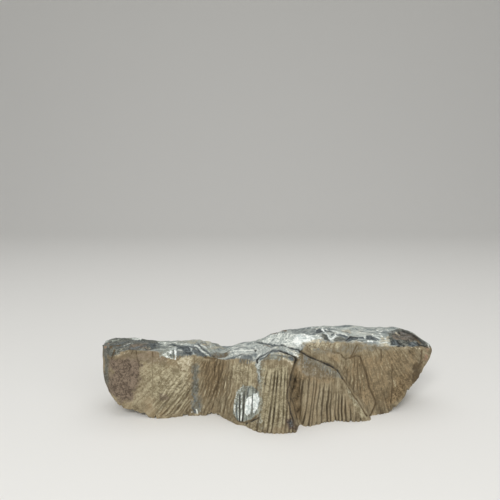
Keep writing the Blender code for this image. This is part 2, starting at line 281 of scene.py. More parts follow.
@dataclass(frozen=True)
class Cliff:
    """The front of the stone, made of masses that stand before one another.

    Attributes:
        feet: The plan of each mass at the foot, as (station, distance to the back) points.
        rims: The plan of each mass at the rim.
        prow_edge: The prow's right edge, (height, station).
        lobe_edge: The lobe's left edge, (height, station).
        lobe_crest: The lobe's crest, (station, height).
    """

    feet: dict[Mass, Points] = field(default_factory=lambda: {
        Mass.LEFT: [(-101.3, -2.5), (-98, -6.5), (-94, -11.5), (-82, -13), (-70, -15), (-62, -15),
                    (-54, -12.5), (-46, -11), (-38, -10.8), (-28, -7), (-16, 0)],
        Mass.BUTTRESS: [(-38, -5), (-33, -10.5), (-28, -15.5), (-21, -22), (-15.5, -23.5), (-11, -27),
                        (-5, -29), (0, -29)],
        Mass.PROW: [(-14, -20), (-11, -27), (-7, -30.5), (-3, -31.5), (5, -32), (11, -32), (16, -30)],
        Mass.LOBE: [(6, -15), (12, -20), (16, -23), (20.5, -24.5), (26, -22.5), (31, -20), (38, -18),
                    (45, -18.5), (52, -18.5), (58, -17), (64, -14)],
        Mass.RIGHT: [(-12, 2), (0, -5), (20, -9.5), (46, -12), (58, -12), (64, -11), (72, -8), (79, -6),
                     (85, -3), (91, 1), (95.5, 4.5), (99.2, 7.5)],
    })
    rims: dict[Mass, Points] = field(default_factory=lambda: {
        Mass.LEFT: [(-101.3, -2.5), (-98, -6.5), (-94, -11), (-82, -12.5), (-70, -13.5), (-60, -12.5),
                    (-52, -11.5), (-44, -12), (-36, -10.5), (-28, -7), (-16, 0)],
        Mass.BUTTRESS: [(-38, -6), (-33, -10.5), (-28, -13), (-21, -15.5), (-14, -17), (-9, -16.5),
                        (-4, -17), (0, -17)],
        Mass.PROW: [(-14, -10), (-10, -15), (-7, -19.5), (-2, -23), (4, -24.5), (9, -23.5), (14, -20.5)],
        Mass.RIGHT: [(-12, 4), (0, -1), (20, -3), (30, -4), (46, -5.5), (60, -5.5), (72, -4.5),
                     (85, -1.5), (92, 2), (96, 5), (99.2, 7.5)],
    })
    prow_edge: Points = field(default_factory=lambda: [
        (0, 13), (3.7, 12.2), (6.7, 11.2), (11.5, 10.2), (16, 9.3), (19, 8.7), (23, 8.9), (28, 9.2),
        (32, 9.9), (37, 10.7), (41, 12.8), (46, 12.8)])
    lobe_edge: Points = field(default_factory=lambda: [
        (0, 17.8), (6, 17.4), (11, 16.5), (15, 16), (19.5, 15.4), (23.5, 15.2), (26.5, 14.3), (31, 12.6),
        (34, 12), (38, 10), (46, 6)])
    lobe_crest: Points = field(default_factory=lambda: [
        (4, 44.5), (8.8, 43.4), (12.2, 42.1), (15.7, 41.4), (19.2, 40), (22.1, 38.8), (26.7, 36.6),
        (30.8, 34.5), (34.9, 31.5), (38.5, 29.3), (42.1, 24.4), (46.9, 19.2), (49.4, 14.9), (52.4, 11.1),
        (55.5, 6.7), (58.4, -0.2), (61, -5)])

    HEIGHT = 46.0
    FACE_SWELL = 1.6
    LOBE_SWELL = 2.6
    LOWEST_CREST = 4.0
    LOBE_CREST_DEPTH = -14.5
    PAST_ENDS_SLOPE = 2.5
    PROW_SIDE_SLOPE = 2.6
    PROW_SIDE_EASING = 1.6
    PROW_SIDE_EASES_AT = (32, 42)
    LOBE_SHOULDER_SLOPE = 2.2
    LOBE_SIDE_SLOPE = 0.9

    def lean(self, mass: Mass, x: np.ndarray, z: np.ndarray) -> np.ndarray:
        """Depth of a face that goes from its foot's plan to its rim's plan and falls away past its ends.

        Args:
            mass: Which mass's face.
            x: Stations along the stone.
            z: Heights.

        Returns:
            The distance to the back at each point.
        """
        foot = self.feet[mass]
        share = np.clip(z / self.HEIGHT, 0, 1) ** self.FACE_SWELL
        past_ends = np.clip(foot[0][0] - x, 0, None) + np.clip(x - foot[-1][0], 0, None)
        level = through(foot, x) * (1 - share) + through(self.rims[mass], x) * share
        return level + self.PAST_ENDS_SLOPE * past_ends

    def prow(self, x: np.ndarray, z: np.ndarray) -> np.ndarray:
        """Depth of the buttress's front third, which ends in a sharp edge beside the cleft.

        Args:
            x: Stations along the stone.
            z: Heights.

        Returns:
            The distance to the back at each point.
        """
        past_edge = np.clip(x - through(self.prow_edge, z), 0, None)
        side = self.PROW_SIDE_SLOPE - self.PROW_SIDE_EASING * ease(*self.PROW_SIDE_EASES_AT, z)
        return self.lean(Mass.PROW, x, z) + side * past_edge

    def lobe(self, x: np.ndarray, z: np.ndarray) -> np.ndarray:
        """Depth of the thin rounded layer that lies against the right block.

        Args:
            x: Stations along the stone.
            z: Heights.

        Returns:
            The distance to the back at each point.
        """
        crest = through(self.lobe_crest, x)
        share = np.clip(z / np.maximum(crest, self.LOWEST_CREST), 0, 1) ** self.LOBE_SWELL
        depth = through(self.feet[Mass.LOBE], x) * (1 - share) + self.LOBE_CREST_DEPTH * share
        above = np.clip(z - crest, 0, None)
        beside = np.clip(through(self.lobe_edge, z) - x, 0, None)
        return depth + self.LOBE_SHOULDER_SLOPE * above + self.LOBE_SIDE_SLOPE * beside

    def faces(self, x: np.ndarray, z: np.ndarray) -> np.ndarray:
        """The depth of each mass, in the order of Mass.

        Args:
            x: Stations along the stone.
            z: Heights.

        Returns:
            One row of distances for each mass of the front.
        """
        return np.stack([
            self.lean(Mass.LEFT, x, z),
            self.lean(Mass.BUTTRESS, x, z),
            self.prow(x, z),
            self.lobe(x, z),
            self.lean(Mass.RIGHT, x, z),
        ])

    def depth(self, x: np.ndarray, z: np.ndarray) -> np.ndarray:
        """The cliff is the nearest of its masses."""
        return self.faces(x, z).min(axis=0)


@dataclass(frozen=True)
class Block:
    """The stone's whole form before anything is cut in: a cube's six sides laid on its surfaces.

    Attributes:
        cliff: The front.
        back_plan: The back's plan, (station, distance to the back).
        foot: Heights of the foot along the stone, (station, height).
        rim: Heights of the cliff's rim.
        middle: Heights of the plateau's middle.
        back_rim: Heights of the back rim.
        seam: The seam across the plateau, (station, distance to the back).
    """

    cliff: Cliff = field(default_factory=Cliff)
    back_plan: Points = field(default_factory=lambda: [
        (-101.3, 7), (-96.5, 12), (-85, 15), (-65, 16.5), (-45, 15), (-30, 14), (-18, 15.5), (-6, 19.5),
        (6, 24), (20, 26.5), (40, 27.5), (60, 27), (76, 25), (88, 21.5), (95, 18), (99.2, 14.5)])
    foot: Points = field(default_factory=lambda: [
        (-101.3, 27), (-100.4, 21.5), (-99, 18), (-96.5, 15.2), (-93.5, 12.3), (-91, 8.6), (-88, 5.6),
        (-82, 3.4), (-76, 1.6), (-68, -1.2), (-56, -1.4), (-48, -0.6), (-38, 0.2), (-30, -1), (-20, -1.8),
        (0, -2), (60, -2), (68, -1.8), (75, 3.2), (79, 7), (84, 12), (88, 15.2), (91, 17.3), (93.5, 20),
        (95.5, 24), (97.5, 26.6), (99.2, 29.2)])
    rim: Points = field(default_factory=lambda: [
        (-101.3, 40.9), (-97, 42.3), (-93, 42.6), (-87, 42.4), (-78, 41.8), (-66, 41.2), (-59, 39),
        (-53, 37.8), (-45, 37.8), (-38, 37.8), (-34, 36.7), (-30, 36.2), (-25, 37), (-21, 38.4),
        (-17, 39.2), (-12, 38.5), (-8.5, 37), (-5.5, 40.3), (-2.5, 43), (0.5, 44.5), (4, 45), (7.5, 44.2),
        (10.5, 42.9), (13, 42), (16, 42), (20, 42.5), (26, 43), (32, 43.3), (41, 43.2), (47, 42.6),
        (59, 41.6), (68, 41), (77, 40.4), (88, 39.6), (94, 38.4), (97, 37.2), (99.2, 36)])
    middle: Points = field(default_factory=lambda: [
        (-101.3, 40.2), (-97, 41), (-90, 40.6), (-80, 40.2), (-70, 39.6), (-60, 39.6), (-48, 40),
        (-42, 39.4), (-36, 37.2), (-28, 35.6), (-20, 37.9), (-10, 38.4), (-2, 40.2), (6, 42), (18, 43.4),
        (40, 44.6), (60, 44.6), (80, 44.2), (90, 42.2), (96, 38.4), (99.2, 36)])
    back_rim: Points = field(default_factory=lambda: [
        (-101.3, 41), (-97, 41), (-90, 40), (-80, 38.8), (-74, 38), (-62, 37.8), (-52, 38.4),
        (-46, 39), (-40, 38.2), (-34, 36.4), (-27, 34.6), (-22, 35.4), (-18, 36.2), (-12, 36.6), (-7, 37),
        (-3, 38.6), (1, 40.4), (10, 41.6), (20, 42.6), (36, 43.8), (48, 43.8), (64, 43.6), (74, 43.5),
        (81, 43.6), (90, 41.2), (95, 38.6), (99.2, 36)])
    seam: Points = field(default_factory=lambda: [(12, -16), (5, -12), (0, -5), (-4, 2), (-7, 9), (-10, 20)])

    LEFT_END = -101.3
    RIGHT_END = 99.2
    CUTS_ALONG = (99, 5)
    CUTS_ACROSS = (47,)
    CUTS_UP = (63,)
    SAMPLES = 260
    BACK_LEAN = 3.5
    BACK_UNDERCUT = 2.5
    END_SWELL = 1.2
    SEAM_STEP = 1.6
    SEAM_RISE = 0.6
    SEAM_EASES_OFF = (-6, 14)
    STRAIGHT = 10
    WEAR = 0.5
    WEAR_ROUNDS = 5

    def cells(self) -> tuple[int, int, int]:
        """How many cells the grid has along, across and up."""
        rounds = (self.CUTS_ALONG, self.CUTS_ACROSS, self.CUTS_UP)
        return tuple(math.prod(cut + 1 for cut in cuts) for cuts in rounds)

    def back_wall(self, x: np.ndarray, z: np.ndarray) -> np.ndarray:
        """The back is plainer: it leans in towards its rim and draws in at the foot.

        Args:
            x: Stations along the stone.
            z: Heights.

        Returns:
            The distance to the back at each point.
        """
        height = np.clip(z / self.cliff.HEIGHT, 0, 1)
        undercut = self.BACK_UNDERCUT * (1 - height) ** 3
        return through(self.back_plan, x) - self.BACK_LEAN * height**3 - undercut

    def wall(self, stations: np.ndarray, surface: Surface, low: np.ndarray, high: np.ndarray) -> np.ndarray:
        """One side of the stone, from its foot to its rim, with its points evenly spaced.

        Args:
            stations: The stations of the grid's columns.
            surface: The function that gives the side's depth.
            low: The height of the foot at each station.
            high: The height of the rim at each station.

        Returns:
            A grid of points, station by station.
        """
        share = np.linspace(0, 1, self.SAMPLES)
        x = np.repeat(stations[:, None], self.SAMPLES, axis=1)
        z = low[:, None] * (1 - share) + high[:, None] * share
        path = np.stack([x, surface(x, z), z], axis=2)
        steps = np.linalg.norm(np.diff(path, axis=1), axis=2)
        run = np.concatenate([np.zeros((len(path), 1)), np.cumsum(steps, axis=1)], axis=1)
        count = self.cells()[2]
        spaced = np.empty((len(path), count + 1, 3))
        for row, (points, length) in enumerate(zip(path, run)):
            wanted = np.linspace(0, length[-1], count + 1)
            for axis in range(3):
                spaced[row, :, axis] = np.interp(wanted, length, points[:, axis])
        return spaced

    def plateau(self, front: np.ndarray, back: np.ndarray) -> np.ndarray:
        """The top of the stone, from the cliff's rim to the back rim.

        Args:
            front: The cliff's rim, one point for each station.
            back: The back rim.

        Returns:
            A grid of points, station by station.
        """
        share = np.linspace(0, 1, self.cells()[1] + 1)[None, :]
        x = np.repeat(front[:, None, 0], share.shape[1], axis=1)
        y = front[:, None, 1] * (1 - share) + back[:, None, 1] * share
        middle = through(self.middle, front[:, 0])[:, None]
        dome = middle - (front[:, None, 2] + back[:, None, 2]) / 2
        past_seam = x - through([(across, along) for along, across in self.seam], y)
        step = ease(-self.SEAM_RISE, self.SEAM_RISE, past_seam) - ease(*self.SEAM_EASES_OFF, past_seam)
        z = front[:, None, 2] * (1 - share) + back[:, None, 2] * share
        z = z + 4 * share * (1 - share) * (dome + self.SEAM_STEP * step)
        return np.stack([x, y, z], axis=2)

    def end_patch(self, columns: Pair, rows: Pair, swell: float) -> np.ndarray:
        """An end of the stone, spanned between its four edges and swollen outwards in the middle.

        Args:
            columns: The cliff's and the back's upright edges.
            rows: The foot's and the top's edges.
            swell: How far the middle swells, along the stone.

        Returns:
            A grid of points.
        """
        cliff_column, back_column = columns
        foot_row, top_row = rows
        v = np.linspace(0, 1, len(foot_row))[:, None, None]
        w = np.linspace(0, 1, len(cliff_column))[None, :, None]
        sides = cliff_column[None] * (1 - v) + back_column[None] * v
        caps = foot_row[:, None] * (1 - w) + top_row[:, None] * w
        corners = (cliff_column[0] * (1 - v) * (1 - w) + back_column[0] * v * (1 - w)
                   + cliff_column[-1] * (1 - v) * w + back_column[-1] * v * w)
        patch = sides + caps - corners
        patch[..., 0] += (swell * 4 * v * (1 - v) * 4 * w * (1 - w))[..., 0]
        return patch

    def lay(self, place: np.ndarray) -> np.ndarray:
        """Lays the divided cube on the stone.

        Args:
            place: Each vertex's place in the cube's grid, three whole numbers.

        Returns:
            The point of the stone's surface for each vertex.
        """
        along, across, up = self.cells()
        stations = np.linspace(self.LEFT_END, self.RIGHT_END, along + 1)
        foot = through(self.foot, stations)
        front = self.wall(stations, self.cliff.depth, foot, through(self.rim, stations))
        back = self.wall(stations, self.back_wall, foot, through(self.back_rim, stations))
        top = self.plateau(front[:, -1], back[:, -1])
        share = np.linspace(0, 1, across + 1)[None, :, None]
        base = front[:, 0][:, None] * (1 - share) + back[:, 0][:, None] * share
        left = self.end_patch((front[0], back[0]), (base[0], top[0]), -self.END_SWELL)
        right = self.end_patch((front[-1], back[-1]), (base[-1], top[-1]), self.END_SWELL)
        i, j, k = place.T
        points = np.empty((len(place), 3))
        for here, surface in (
            (i == 0, lambda m: left[j[m], k[m]]),
            (i == along, lambda m: right[j[m], k[m]]),
            (k == 0, lambda m: base[i[m], j[m]]),
            (k == up, lambda m: top[i[m], j[m]]),
            (j == 0, lambda m: front[i[m], k[m]]),
            (j == across, lambda m: back[i[m], k[m]]),
        ):
            points[here] = surface(here)
        return points

    def model(self) -> bpy.types.Object:
        """Models the block: a cube whose edges are cut along each axis, laid on the stone and worn.

        Returns:
            The object, in millimetres.
        """
        bpy.ops.object.select_all(action="DESELECT")
        bpy.ops.mesh.primitive_cube_add(size=2, location=(0, 0, 0))
        stone = bpy.context.object
        stone.name = "stone_surface"
        bpy.ops.object.mode_set(mode="EDIT")
        bpy.ops.mesh.select_mode(type="EDGE")
        for axis, rounds in enumerate((self.CUTS_ALONG, self.CUTS_ACROSS, self.CUTS_UP)):
            for cuts in rounds:
                self.select_edges_along(stone, axis)
                bpy.ops.mesh.subdivide(number_cuts=cuts, smoothness=0)
        bpy.ops.object.mode_set(mode="OBJECT")
        mesh = stone.data
        cube = read(mesh.vertices, "co")
        cells = np.array(self.cells())
        write(mesh.vertices, "co", self.lay(np.rint((cube + 1) / 2 * cells).astype(int)))
        mesh.update()
        bpy.ops.object.mode_set(mode="EDIT")
        bpy.ops.mesh.select_mode(type="VERT")
        bpy.ops.mesh.select_all(action="SELECT")
        bpy.ops.mesh.vertices_smooth(factor=self.WEAR, repeat=self.WEAR_ROUNDS)
        bpy.ops.object.mode_set(mode="OBJECT")
        return stone

    def select_edges_along(self, stone: bpy.types.Object, axis: int) -> None:
        """Selects, in edit mode, the edges that run along one axis of the cube.

        Args:
            stone: The cube.
            axis: 0, 1 or 2.
        """
        bpy.ops.mesh.select_all(action="DESELECT")
        mesh = bmesh.from_edit_mesh(stone.data)
        others = [other for other in range(3) if other != axis]
        for edge in mesh.edges:
            run = edge.verts[1].co - edge.verts[0].co
            edge.select_set(abs(run[axis]) > self.STRAIGHT * max(abs(run[other]) for other in others))
        mesh.select_flush_mode()
        bmesh.update_edit_mesh(stone.data)


def read(elements: Elements, name: str) -> np.ndarray:
    """Reads one property of a mesh's elements, three numbers each.

    Args:
        elements: The vertices, normals or other elements.
        name: The property's name.

    Returns:
        One row for each element.
    """
    values = np.empty(len(elements) * 3)
    elements.foreach_get(name, values)
    return values.reshape(-1, 3)


def write(elements: Elements, name: str, values: np.ndarray) -> None:
    """Sets one property of a mesh's elements.

    Args:
        elements: The vertices or other elements.
        name: The property's name.
        values: One row for each element.
    """
    elements.foreach_set(name, np.ascontiguousarray(values).ravel())


@dataclass(frozen=True)
class View:
    """The photograph's viewpoint, on which the camera and the drawn marks agree.

    Attributes:
        eye: Where the camera stands, in metres in the model's frame.
        pitch: How far it looks down, in degrees.
        lens: Its focal length for a 36 mm frame.
        frame: The picture's width and height in pixels.
    """

    eye: tuple[float, float, float] = (-0.0121, -0.2859, 0.145)
    pitch: float = 9.3
    lens: float = 36.0
    frame: float = 500.0

    SENSOR = 36.0

    def pixels(self, points: np.ndarray) -> np.ndarray:
        """Where points of the stone show in the picture.

        Args:
            points: Points in metres in the model's frame.

        Returns:
            A column and a row for each point.
        """
        x, y, z = (points - np.array(self.eye)).T
        turn = math.radians(self.pitch)
        away = y * math.cos(turn) - z * math.sin(turn)
        up = z * math.cos(turn) + y * math.sin(turn)
        scale = self.frame * self.lens / self.SENSOR
        return np.stack([self.frame / 2 + scale * x / away, self.frame / 2 - scale * up / away], axis=1)


@dataclass(frozen=True)
class Mark:
    """A mark on the stone's front or top, drawn where it shows from the view's eye.

    Attributes:
        name: What it is.
        tint: Its colour.
        strength: How fully it covers, from 0 to 1.
        width: Half the width of a line, or how softly a patch ends, in pixels.
        points: The line's points or the patch's corners, in pixels of the 500 by 500 frame.
        cut: How deep it is cut in, in millimetres.
    """

    name: str
    tint: Tint
    strength: float
    width: float
    points: Points
    cut: float = 0.0

    BROKEN = 0.45
    SOFTNESS = 0.7

    def distance(self, place: np.ndarray, closed: bool = False) -> np.ndarray:
        """Distance of each place from the mark's line.

        Args:
            place: Columns and rows.
            closed: Whether the line returns to its first point.

        Returns:
            The distances in pixels.
        """
        near = np.full(len(place), np.inf)
        ends = [*self.points[1:], self.points[0]] if closed else self.points[1:] or self.points
        for start, end in zip(self.points, ends):
            run = np.subtract(end, start)
            length = max(float(run @ run), TINY)
            share = np.clip((place - start) @ run / length, 0, 1)
            near = np.minimum(near, np.linalg.norm(place - start - share[:, None] * run, axis=1))
        return near

    def cover(self, place: np.ndarray, rough: np.ndarray) -> np.ndarray:
        """How fully the line covers each place.

        Args:
            place: Columns and rows.
            rough: Noise from -1 to 1 that breaks the mark up.

        Returns:
            A number from 0 to 1 for each place.
        """
        return np.exp(-((self.distance(place) / self.width) ** 2)) * np.clip(1 + self.BROKEN * rough, 0, 1)


@dataclass(frozen=True)
class Patch(Mark):
    """A mark that fills the outline that its points make."""

    def cover(self, place: np.ndarray, rough: np.ndarray) -> np.ndarray:
        """How fully the patch covers each place.

        Args:
            place: Columns and rows.
            rough: Noise from -1 to 1 that breaks the edge up.

        Returns:
            A number from 0 to 1 for each place.
        """
        inside = np.zeros(len(place), bool)
        for start, end in zip(self.points, [*self.points[1:], self.points[0]]):
            crosses = (start[1] > place[:, 1]) != (end[1] > place[:, 1])
            rise = end[1] - start[1] or TINY
            reached = (place[:, 1] - start[1]) * (end[0] - start[0]) / rise
            inside ^= crosses & (place[:, 0] < start[0] + reached)
        near = self.distance(place, closed=True)
        signed = np.where(inside, near, -near) + self.width * rough
        soft = self.SOFTNESS * self.width
        return ease(-soft, soft, signed)


@dataclass(frozen=True)
class Hatch(Patch):
    """A patch of roughly parallel lines.

    Attributes:
        slope: Which way the lines run, in degrees up from the picture's horizontal.
        pitch: Their mean distance apart in pixels.
        line: Half the width of a line in pixels.
    """

    slope: float = 90.0
    pitch: float = 3.0
    line: float = 0.75

    SEEDS = (31, 32, 33, 34)
    WOBBLE = 0.5
    WOBBLE_PITCHES = 3
    WOBBLE_LENGTH = 9.0
    SPREAD = 0.5
    FADING = (0.9, 0.7)
    FADE_LENGTH = 7.0
    WEAKEST = 0.6

    def cover(self, place: np.ndarray, rough: np.ndarray) -> np.ndarray:
        """How fully the lines cover each place.

        Args:
            place: Columns and rows.
            rough: Noise from -1 to 1.

        Returns:
            A number from 0 to 1 for each place.
        """
        turn = math.radians(self.slope)
        across = place @ np.array([math.sin(turn), math.cos(turn)])
        along = place @ np.array([math.cos(turn), -math.sin(turn)])
        flat = np.stack([across, along, np.zeros_like(across)], axis=1)
        wobble_seed, middle_seed, fade_seed, strength_seed = self.SEEDS
        wobble = lumps(flat, (self.WOBBLE_PITCHES * self.pitch, self.WOBBLE_LENGTH, 1.0), wobble_seed)
        number = (across + self.WOBBLE * self.pitch * wobble) / self.pitch
        whole = np.floor(number)
        cells = np.stack([whole, np.zeros_like(whole), np.zeros_like(whole)], axis=1)
        middle = 0.5 + self.SPREAD * (scatter(cells, middle_seed) - 0.5)
        line = np.exp(-(((number - whole - middle) * self.pitch / self.line) ** 2))
        mean, swing = self.FADING
        fading = np.clip(mean + swing * lumps(flat, (self.pitch, self.FADE_LENGTH, 1.0), fade_seed), 0, 1)
        strength = self.WEAKEST + (1 - self.WEAKEST) * scatter(cells, strength_seed)
        return Patch.cover(self, place, rough) * line * fading * strength


@dataclass(frozen=True)
class Spot(Mark):
    """A round mark: its one point is its middle, and its width is its radius."""


BARE, WARM, KHAKI, ASH, UMBER, GREY, STRAW, CREAM, CHALK, WHITE, SLATE, SOIL, RUST, BLACK = Tint

LEFT_BLOCK = [
    Patch("end strip", ASH, 0.7, 4, [(100, 342), (108, 342), (110, 360), (110, 392), (103, 385)]),
    Spot("rust at the end", RUST, 0.6, 1.6, [(105, 347)]),
    Spot("rust at the corner", RUST, 0.5, 1.2, [(108, 342.8)]),
    Spot("rust lower down", RUST, 0.5, 1.3, [(104.5, 372)]),
    Patch("greyish top", ASH, 0.85, 2, [(103, 343), (112, 337), (130, 335), (145, 337), (159, 339),
          (160, 349), (140, 350.5), (128, 350), (112, 357), (106, 352)]),
    Patch("brown among the grey", UMBER, 0.55, 2.5, [(128, 343), (146, 344), (148, 349), (128, 350)]),
    Patch("umber under the rim", UMBER, 0.5, 5, [(128, 350), (158, 350), (170, 358), (166, 364), (116, 366),
          (112, 358)]),
    Mark("pale crest", GREY, 0.6, 1.1, [(112, 340.2), (120, 338.8), (128, 338.2), (134, 339)]),
    Mark("white on the crest", CHALK, 0.75, 0.9, [(133, 339), (137, 339.2), (141, 340)]),
    Mark("first dark streak", SLATE, 0.6, 0.8, [(112, 344.5), (118, 343.5), (124, 342.4), (131, 341.2),
         (138, 341), (144, 341.8), (149, 343)]),
    Mark("second dark streak", SOIL, 0.7, 0.8, [(112, 346.5), (117, 345), (121, 344.3)]),
    Mark("third dark streak", SLATE, 0.5, 0.9, [(118, 348.5), (124, 346.4), (129, 345.3)]),
    Mark("fourth dark streak", SLATE, 0.55, 1.1, [(126, 349.3), (133, 348), (140, 347.3), (146, 346),
         (150, 344)]),
    Mark("pale streak", CHALK, 0.5, 0.8, [(121, 346.5), (127, 344.4), (133, 343.4)]),
    Mark("lower pale streak", CREAM, 0.3, 0.8, [(116, 352), (121, 349.4), (127, 347)]),
    Mark("grey streak", CREAM, 0.45, 0.9, [(140, 348.4), (145, 347.5), (150, 347.8)]),
    Patch("dark hollow", SLATE, 0.8, 1.2, [(150, 343), (156, 342), (157, 346), (153, 348.5), (150, 347)]),
    Spot("brown hollow", SOIL, 1.0, 1.7, [(110.7, 347.3)], 0.5),
    Mark("brown slot", SOIL, 1.0, 0.9, [(114.7, 350.5), (113.5, 354), (112, 358)], 0.4),
    Mark("slanting band", CREAM, 0.3, 1.1, [(115, 356), (121, 354), (128, 351)]),
    Mark("slanting shadow", SOIL, 0.5, 1.0, [(115, 359), (121, 357), (129, 353)]),
    Patch("dark mottled face", UMBER, 0.86, 6, [(111, 358), (140, 358), (143, 366), (139, 384), (131, 402),
          (120, 402), (109, 385)]),
    Patch("olive beside it", KHAKI, 0.4, 5, [(136, 357), (152, 356), (154, 400), (140, 410), (126, 407),
          (140, 384)]),
    Mark("first nick", SOIL, 0.9, 0.8, [(132, 351), (131, 354)]),
    Mark("second nick", SOIL, 1.0, 0.8, [(135.5, 350.5), (135.8, 355)], 0.2),
    Mark("nick's tail", SOIL, 0.6, 0.8, [(136.5, 357), (138, 363)]),
    Mark("third nick", SOIL, 0.9, 0.8, [(152.5, 352), (152.8, 357.5)]),
    Mark("upright line", SOIL, 0.5, 0.75, [(152.4, 360), (152.6, 380), (152, 398)]),
    Patch("khaki face", KHAKI, 0.7, 8, [(148, 360), (166, 362), (186, 368), (191, 380), (190, 408),
          (158, 413), (148, 398), (146, 375)]),
    Patch("light heart", STRAW, 0.45, 5, [(160, 368), (188, 370), (188, 388), (168, 392)]),
    Hatch("pale scratches", STRAW, 0.75, 4, [(152, 364), (190, 370), (192, 396), (158, 400)], slope=50,
          pitch=2.9, line=0.7),
    Hatch("counter scratches", STRAW, 0.75, 4, [(154, 357), (188, 366), (188, 388), (160, 386)], slope=-38,
          pitch=3.7, line=0.6),
    Hatch("dark scratches", SOIL, 0.35, 4, [(146, 360), (190, 366), (192, 398), (150, 400)], slope=53,
          pitch=3.9, line=0.65),
    Hatch("low furrows", SOIL, 0.85, 2.5, [(152, 402), (171, 394), (190, 391), (193, 414), (156, 417)],
          cut=0.35, slope=50, pitch=3.0, line=0.75),
    Hatch("low ribs", STRAW, 0.9, 3, [(156, 400), (190, 393), (190, 412), (158, 415)], slope=50, pitch=3.3,
          line=0.75),
    Patch("low smudge", UMBER, 0.65, 2, [(158, 393), (168, 394), (169, 400), (160, 401)]),
    Patch("high smudge", SOIL, 0.5, 2, [(171, 367), (179, 368), (178, 373), (172, 372)]),
    Patch("brown dab", SOIL, 0.4, 2, [(158, 361), (172, 362), (170, 366), (160, 366)]),
]

POCKET = [
    Mark("grey band", SLATE, 0.85, 1.6, [(158, 346.5), (165, 347.3), (171, 347.5)]),
    Mark("pale green strip", CHALK, 0.45, 0.75, [(162, 344.8), (167, 344.7), (171, 345)]),
    Patch("grey along the ledge", GREY, 0.62, 2.5, [(156, 339), (180, 341), (186, 345), (172, 348),
          (156, 349)]),
    Patch("shade under the facets", ASH, 0.6, 1.2, [(177, 350), (190, 351), (192, 356), (177, 356)]),
    Patch("mottled lip", GREY, 0.7, 1.5, [(157, 348), (171, 349), (170, 351), (161, 354), (160, 357)]),
    Patch("lens's ground", GREY, 0.9, 1.2, [(160, 354.8), (164, 351.6), (169, 350.3), (174, 350.3),
          (174, 359.4), (170, 359), (165, 357.2)]),
    # The white lens, its brightest spot and its white foot are the facet's own pale colour with a painted
    # highlight laid over it: the glint of light on the facet.
    Patch("white lens with painted highlight", CHALK, 0.36, 1.0, [(161.5, 354.8), (165, 352.6), (169, 351.3), (173, 351.3),
          (173, 358.8), (170, 358.5), (166, 356.8)]),
    Spot("brightest", WHITE, 1.0, 1.5, [(170.6, 352.5)]),
    Mark("white foot of the lens", CHALK, 0.9, 0.7, [(166, 356.8), (170, 357.8), (173, 358.8)]),
    Spot("dark dimple", SLATE, 1.0, 1.2, [(170.8, 355.5)], 0.2),
    Patch("white bar's head", CHALK, 0.95, 0.7, [(171.5, 347), (176, 345), (176, 347), (174, 349.6),
          (171.8, 349)]),
    Mark("white bar", WHITE, 1.0, 1.0, [(174.8, 349.5), (175.4, 353), (175, 358.5)]),
    Mark("split beside the bar", SLATE, 0.85, 0.5, [(173.3, 350.5), (173.3, 358)], 0.2),
    Mark("edge beside the bar", SLATE, 0.9, 0.6, [(176.8, 346), (176.9, 349)]),
    Mark("lower edge", SLATE, 0.8, 0.6, [(176.9, 352), (176.9, 357.5)]),
    Spot("left pit", SLATE, 0.9, 0.9, [(161.3, 353.3)]),
    Patch("violet facet", SLATE, 1.0, 0.9, [(177, 346), (186, 346), (189.5, 349.3), (189, 352), (184, 350.8),
          (180, 348.6), (177, 348.4)]),
    Mark("pale sill", CHALK, 0.5, 0.7, [(177, 349.7), (181, 350), (184, 350)]),
    Patch("dark facet", SLATE, 1.0, 0.9, [(185.5, 346), (188, 346), (190, 348.6), (191.8, 351),
          (193.4, 353.6), (190.5, 355.4), (185, 355.2), (183.6, 352.6), (186, 350.4), (187.4, 348.6)]),
    Patch("grey right of the tick", ASH, 0.8, 1.0, [(191.5, 347), (195, 347.5), (199, 351.5), (203, 355.5),
          (197, 356.5), (193.5, 352)]),
    Mark("black in the dark facet", BLACK, 0.7, 0.8, [(185.5, 352.5), (188, 354), (191.5, 353.2)]),
    Hatch("fringe under the facets", SLATE, 1.0, 1.2, [(177, 351), (184, 352), (193, 354), (192, 357.5),
          (178, 357.5)], slope=89, pitch=1.9, line=0.6),
    Mark("first white tick", CHALK, 0.95, 0.75, [(188.3, 345.9), (190.4, 347.8), (192, 350)]),
    # The cream below the facets and its cream edge are partly the stone's own cream colour and partly a
    # painted highlight.
    Patch("cream and painted highlight below", CREAM, 0.95, 2.0, [(177, 359), (186, 357), (194, 357.5), (192, 362), (188, 367),
          (182, 371), (179, 366)]),
    Mark("cream edge", CREAM, 0.8, 0.9, [(192.5, 358.5), (189, 362), (187, 367)]),
    Mark("brown split in the cream", SOIL, 0.5, 0.6, [(190.5, 361), (188, 366), (186, 370)]),
    Patch("grey vein", ASH, 0.72, 4, [(193, 363), (198, 363), (199.5, 384), (198, 394), (191.5, 394),
          (191, 378)]),
    Patch("vein's smear", ASH, 0.6, 4, [(190, 394), (201, 393), (203, 412), (190, 413)]),
    Mark("vein's left edge", SOIL, 0.6, 0.7, [(194.5, 358), (194, 366), (192, 380)]),
    Mark("upper knot", SLATE, 0.8, 1.3, [(192.5, 394), (195, 401)]),
    Mark("lower knot", SLATE, 0.85, 1.3, [(193, 407), (194.8, 411.5)]),
    Mark("dark stroke", SLATE, 0.6, 0.8, [(198, 400), (199.5, 407)]),
    Spot("white fleck 1", CHALK, 0.9, 0.9, [(192, 412)]),
    Mark("white fleck 2", CHALK, 0.8, 0.7, [(196.5, 409), (197.5, 412.5)]),
    Spot("white fleck 3", CHALK, 0.7, 0.9, [(200.5, 411)]),
]

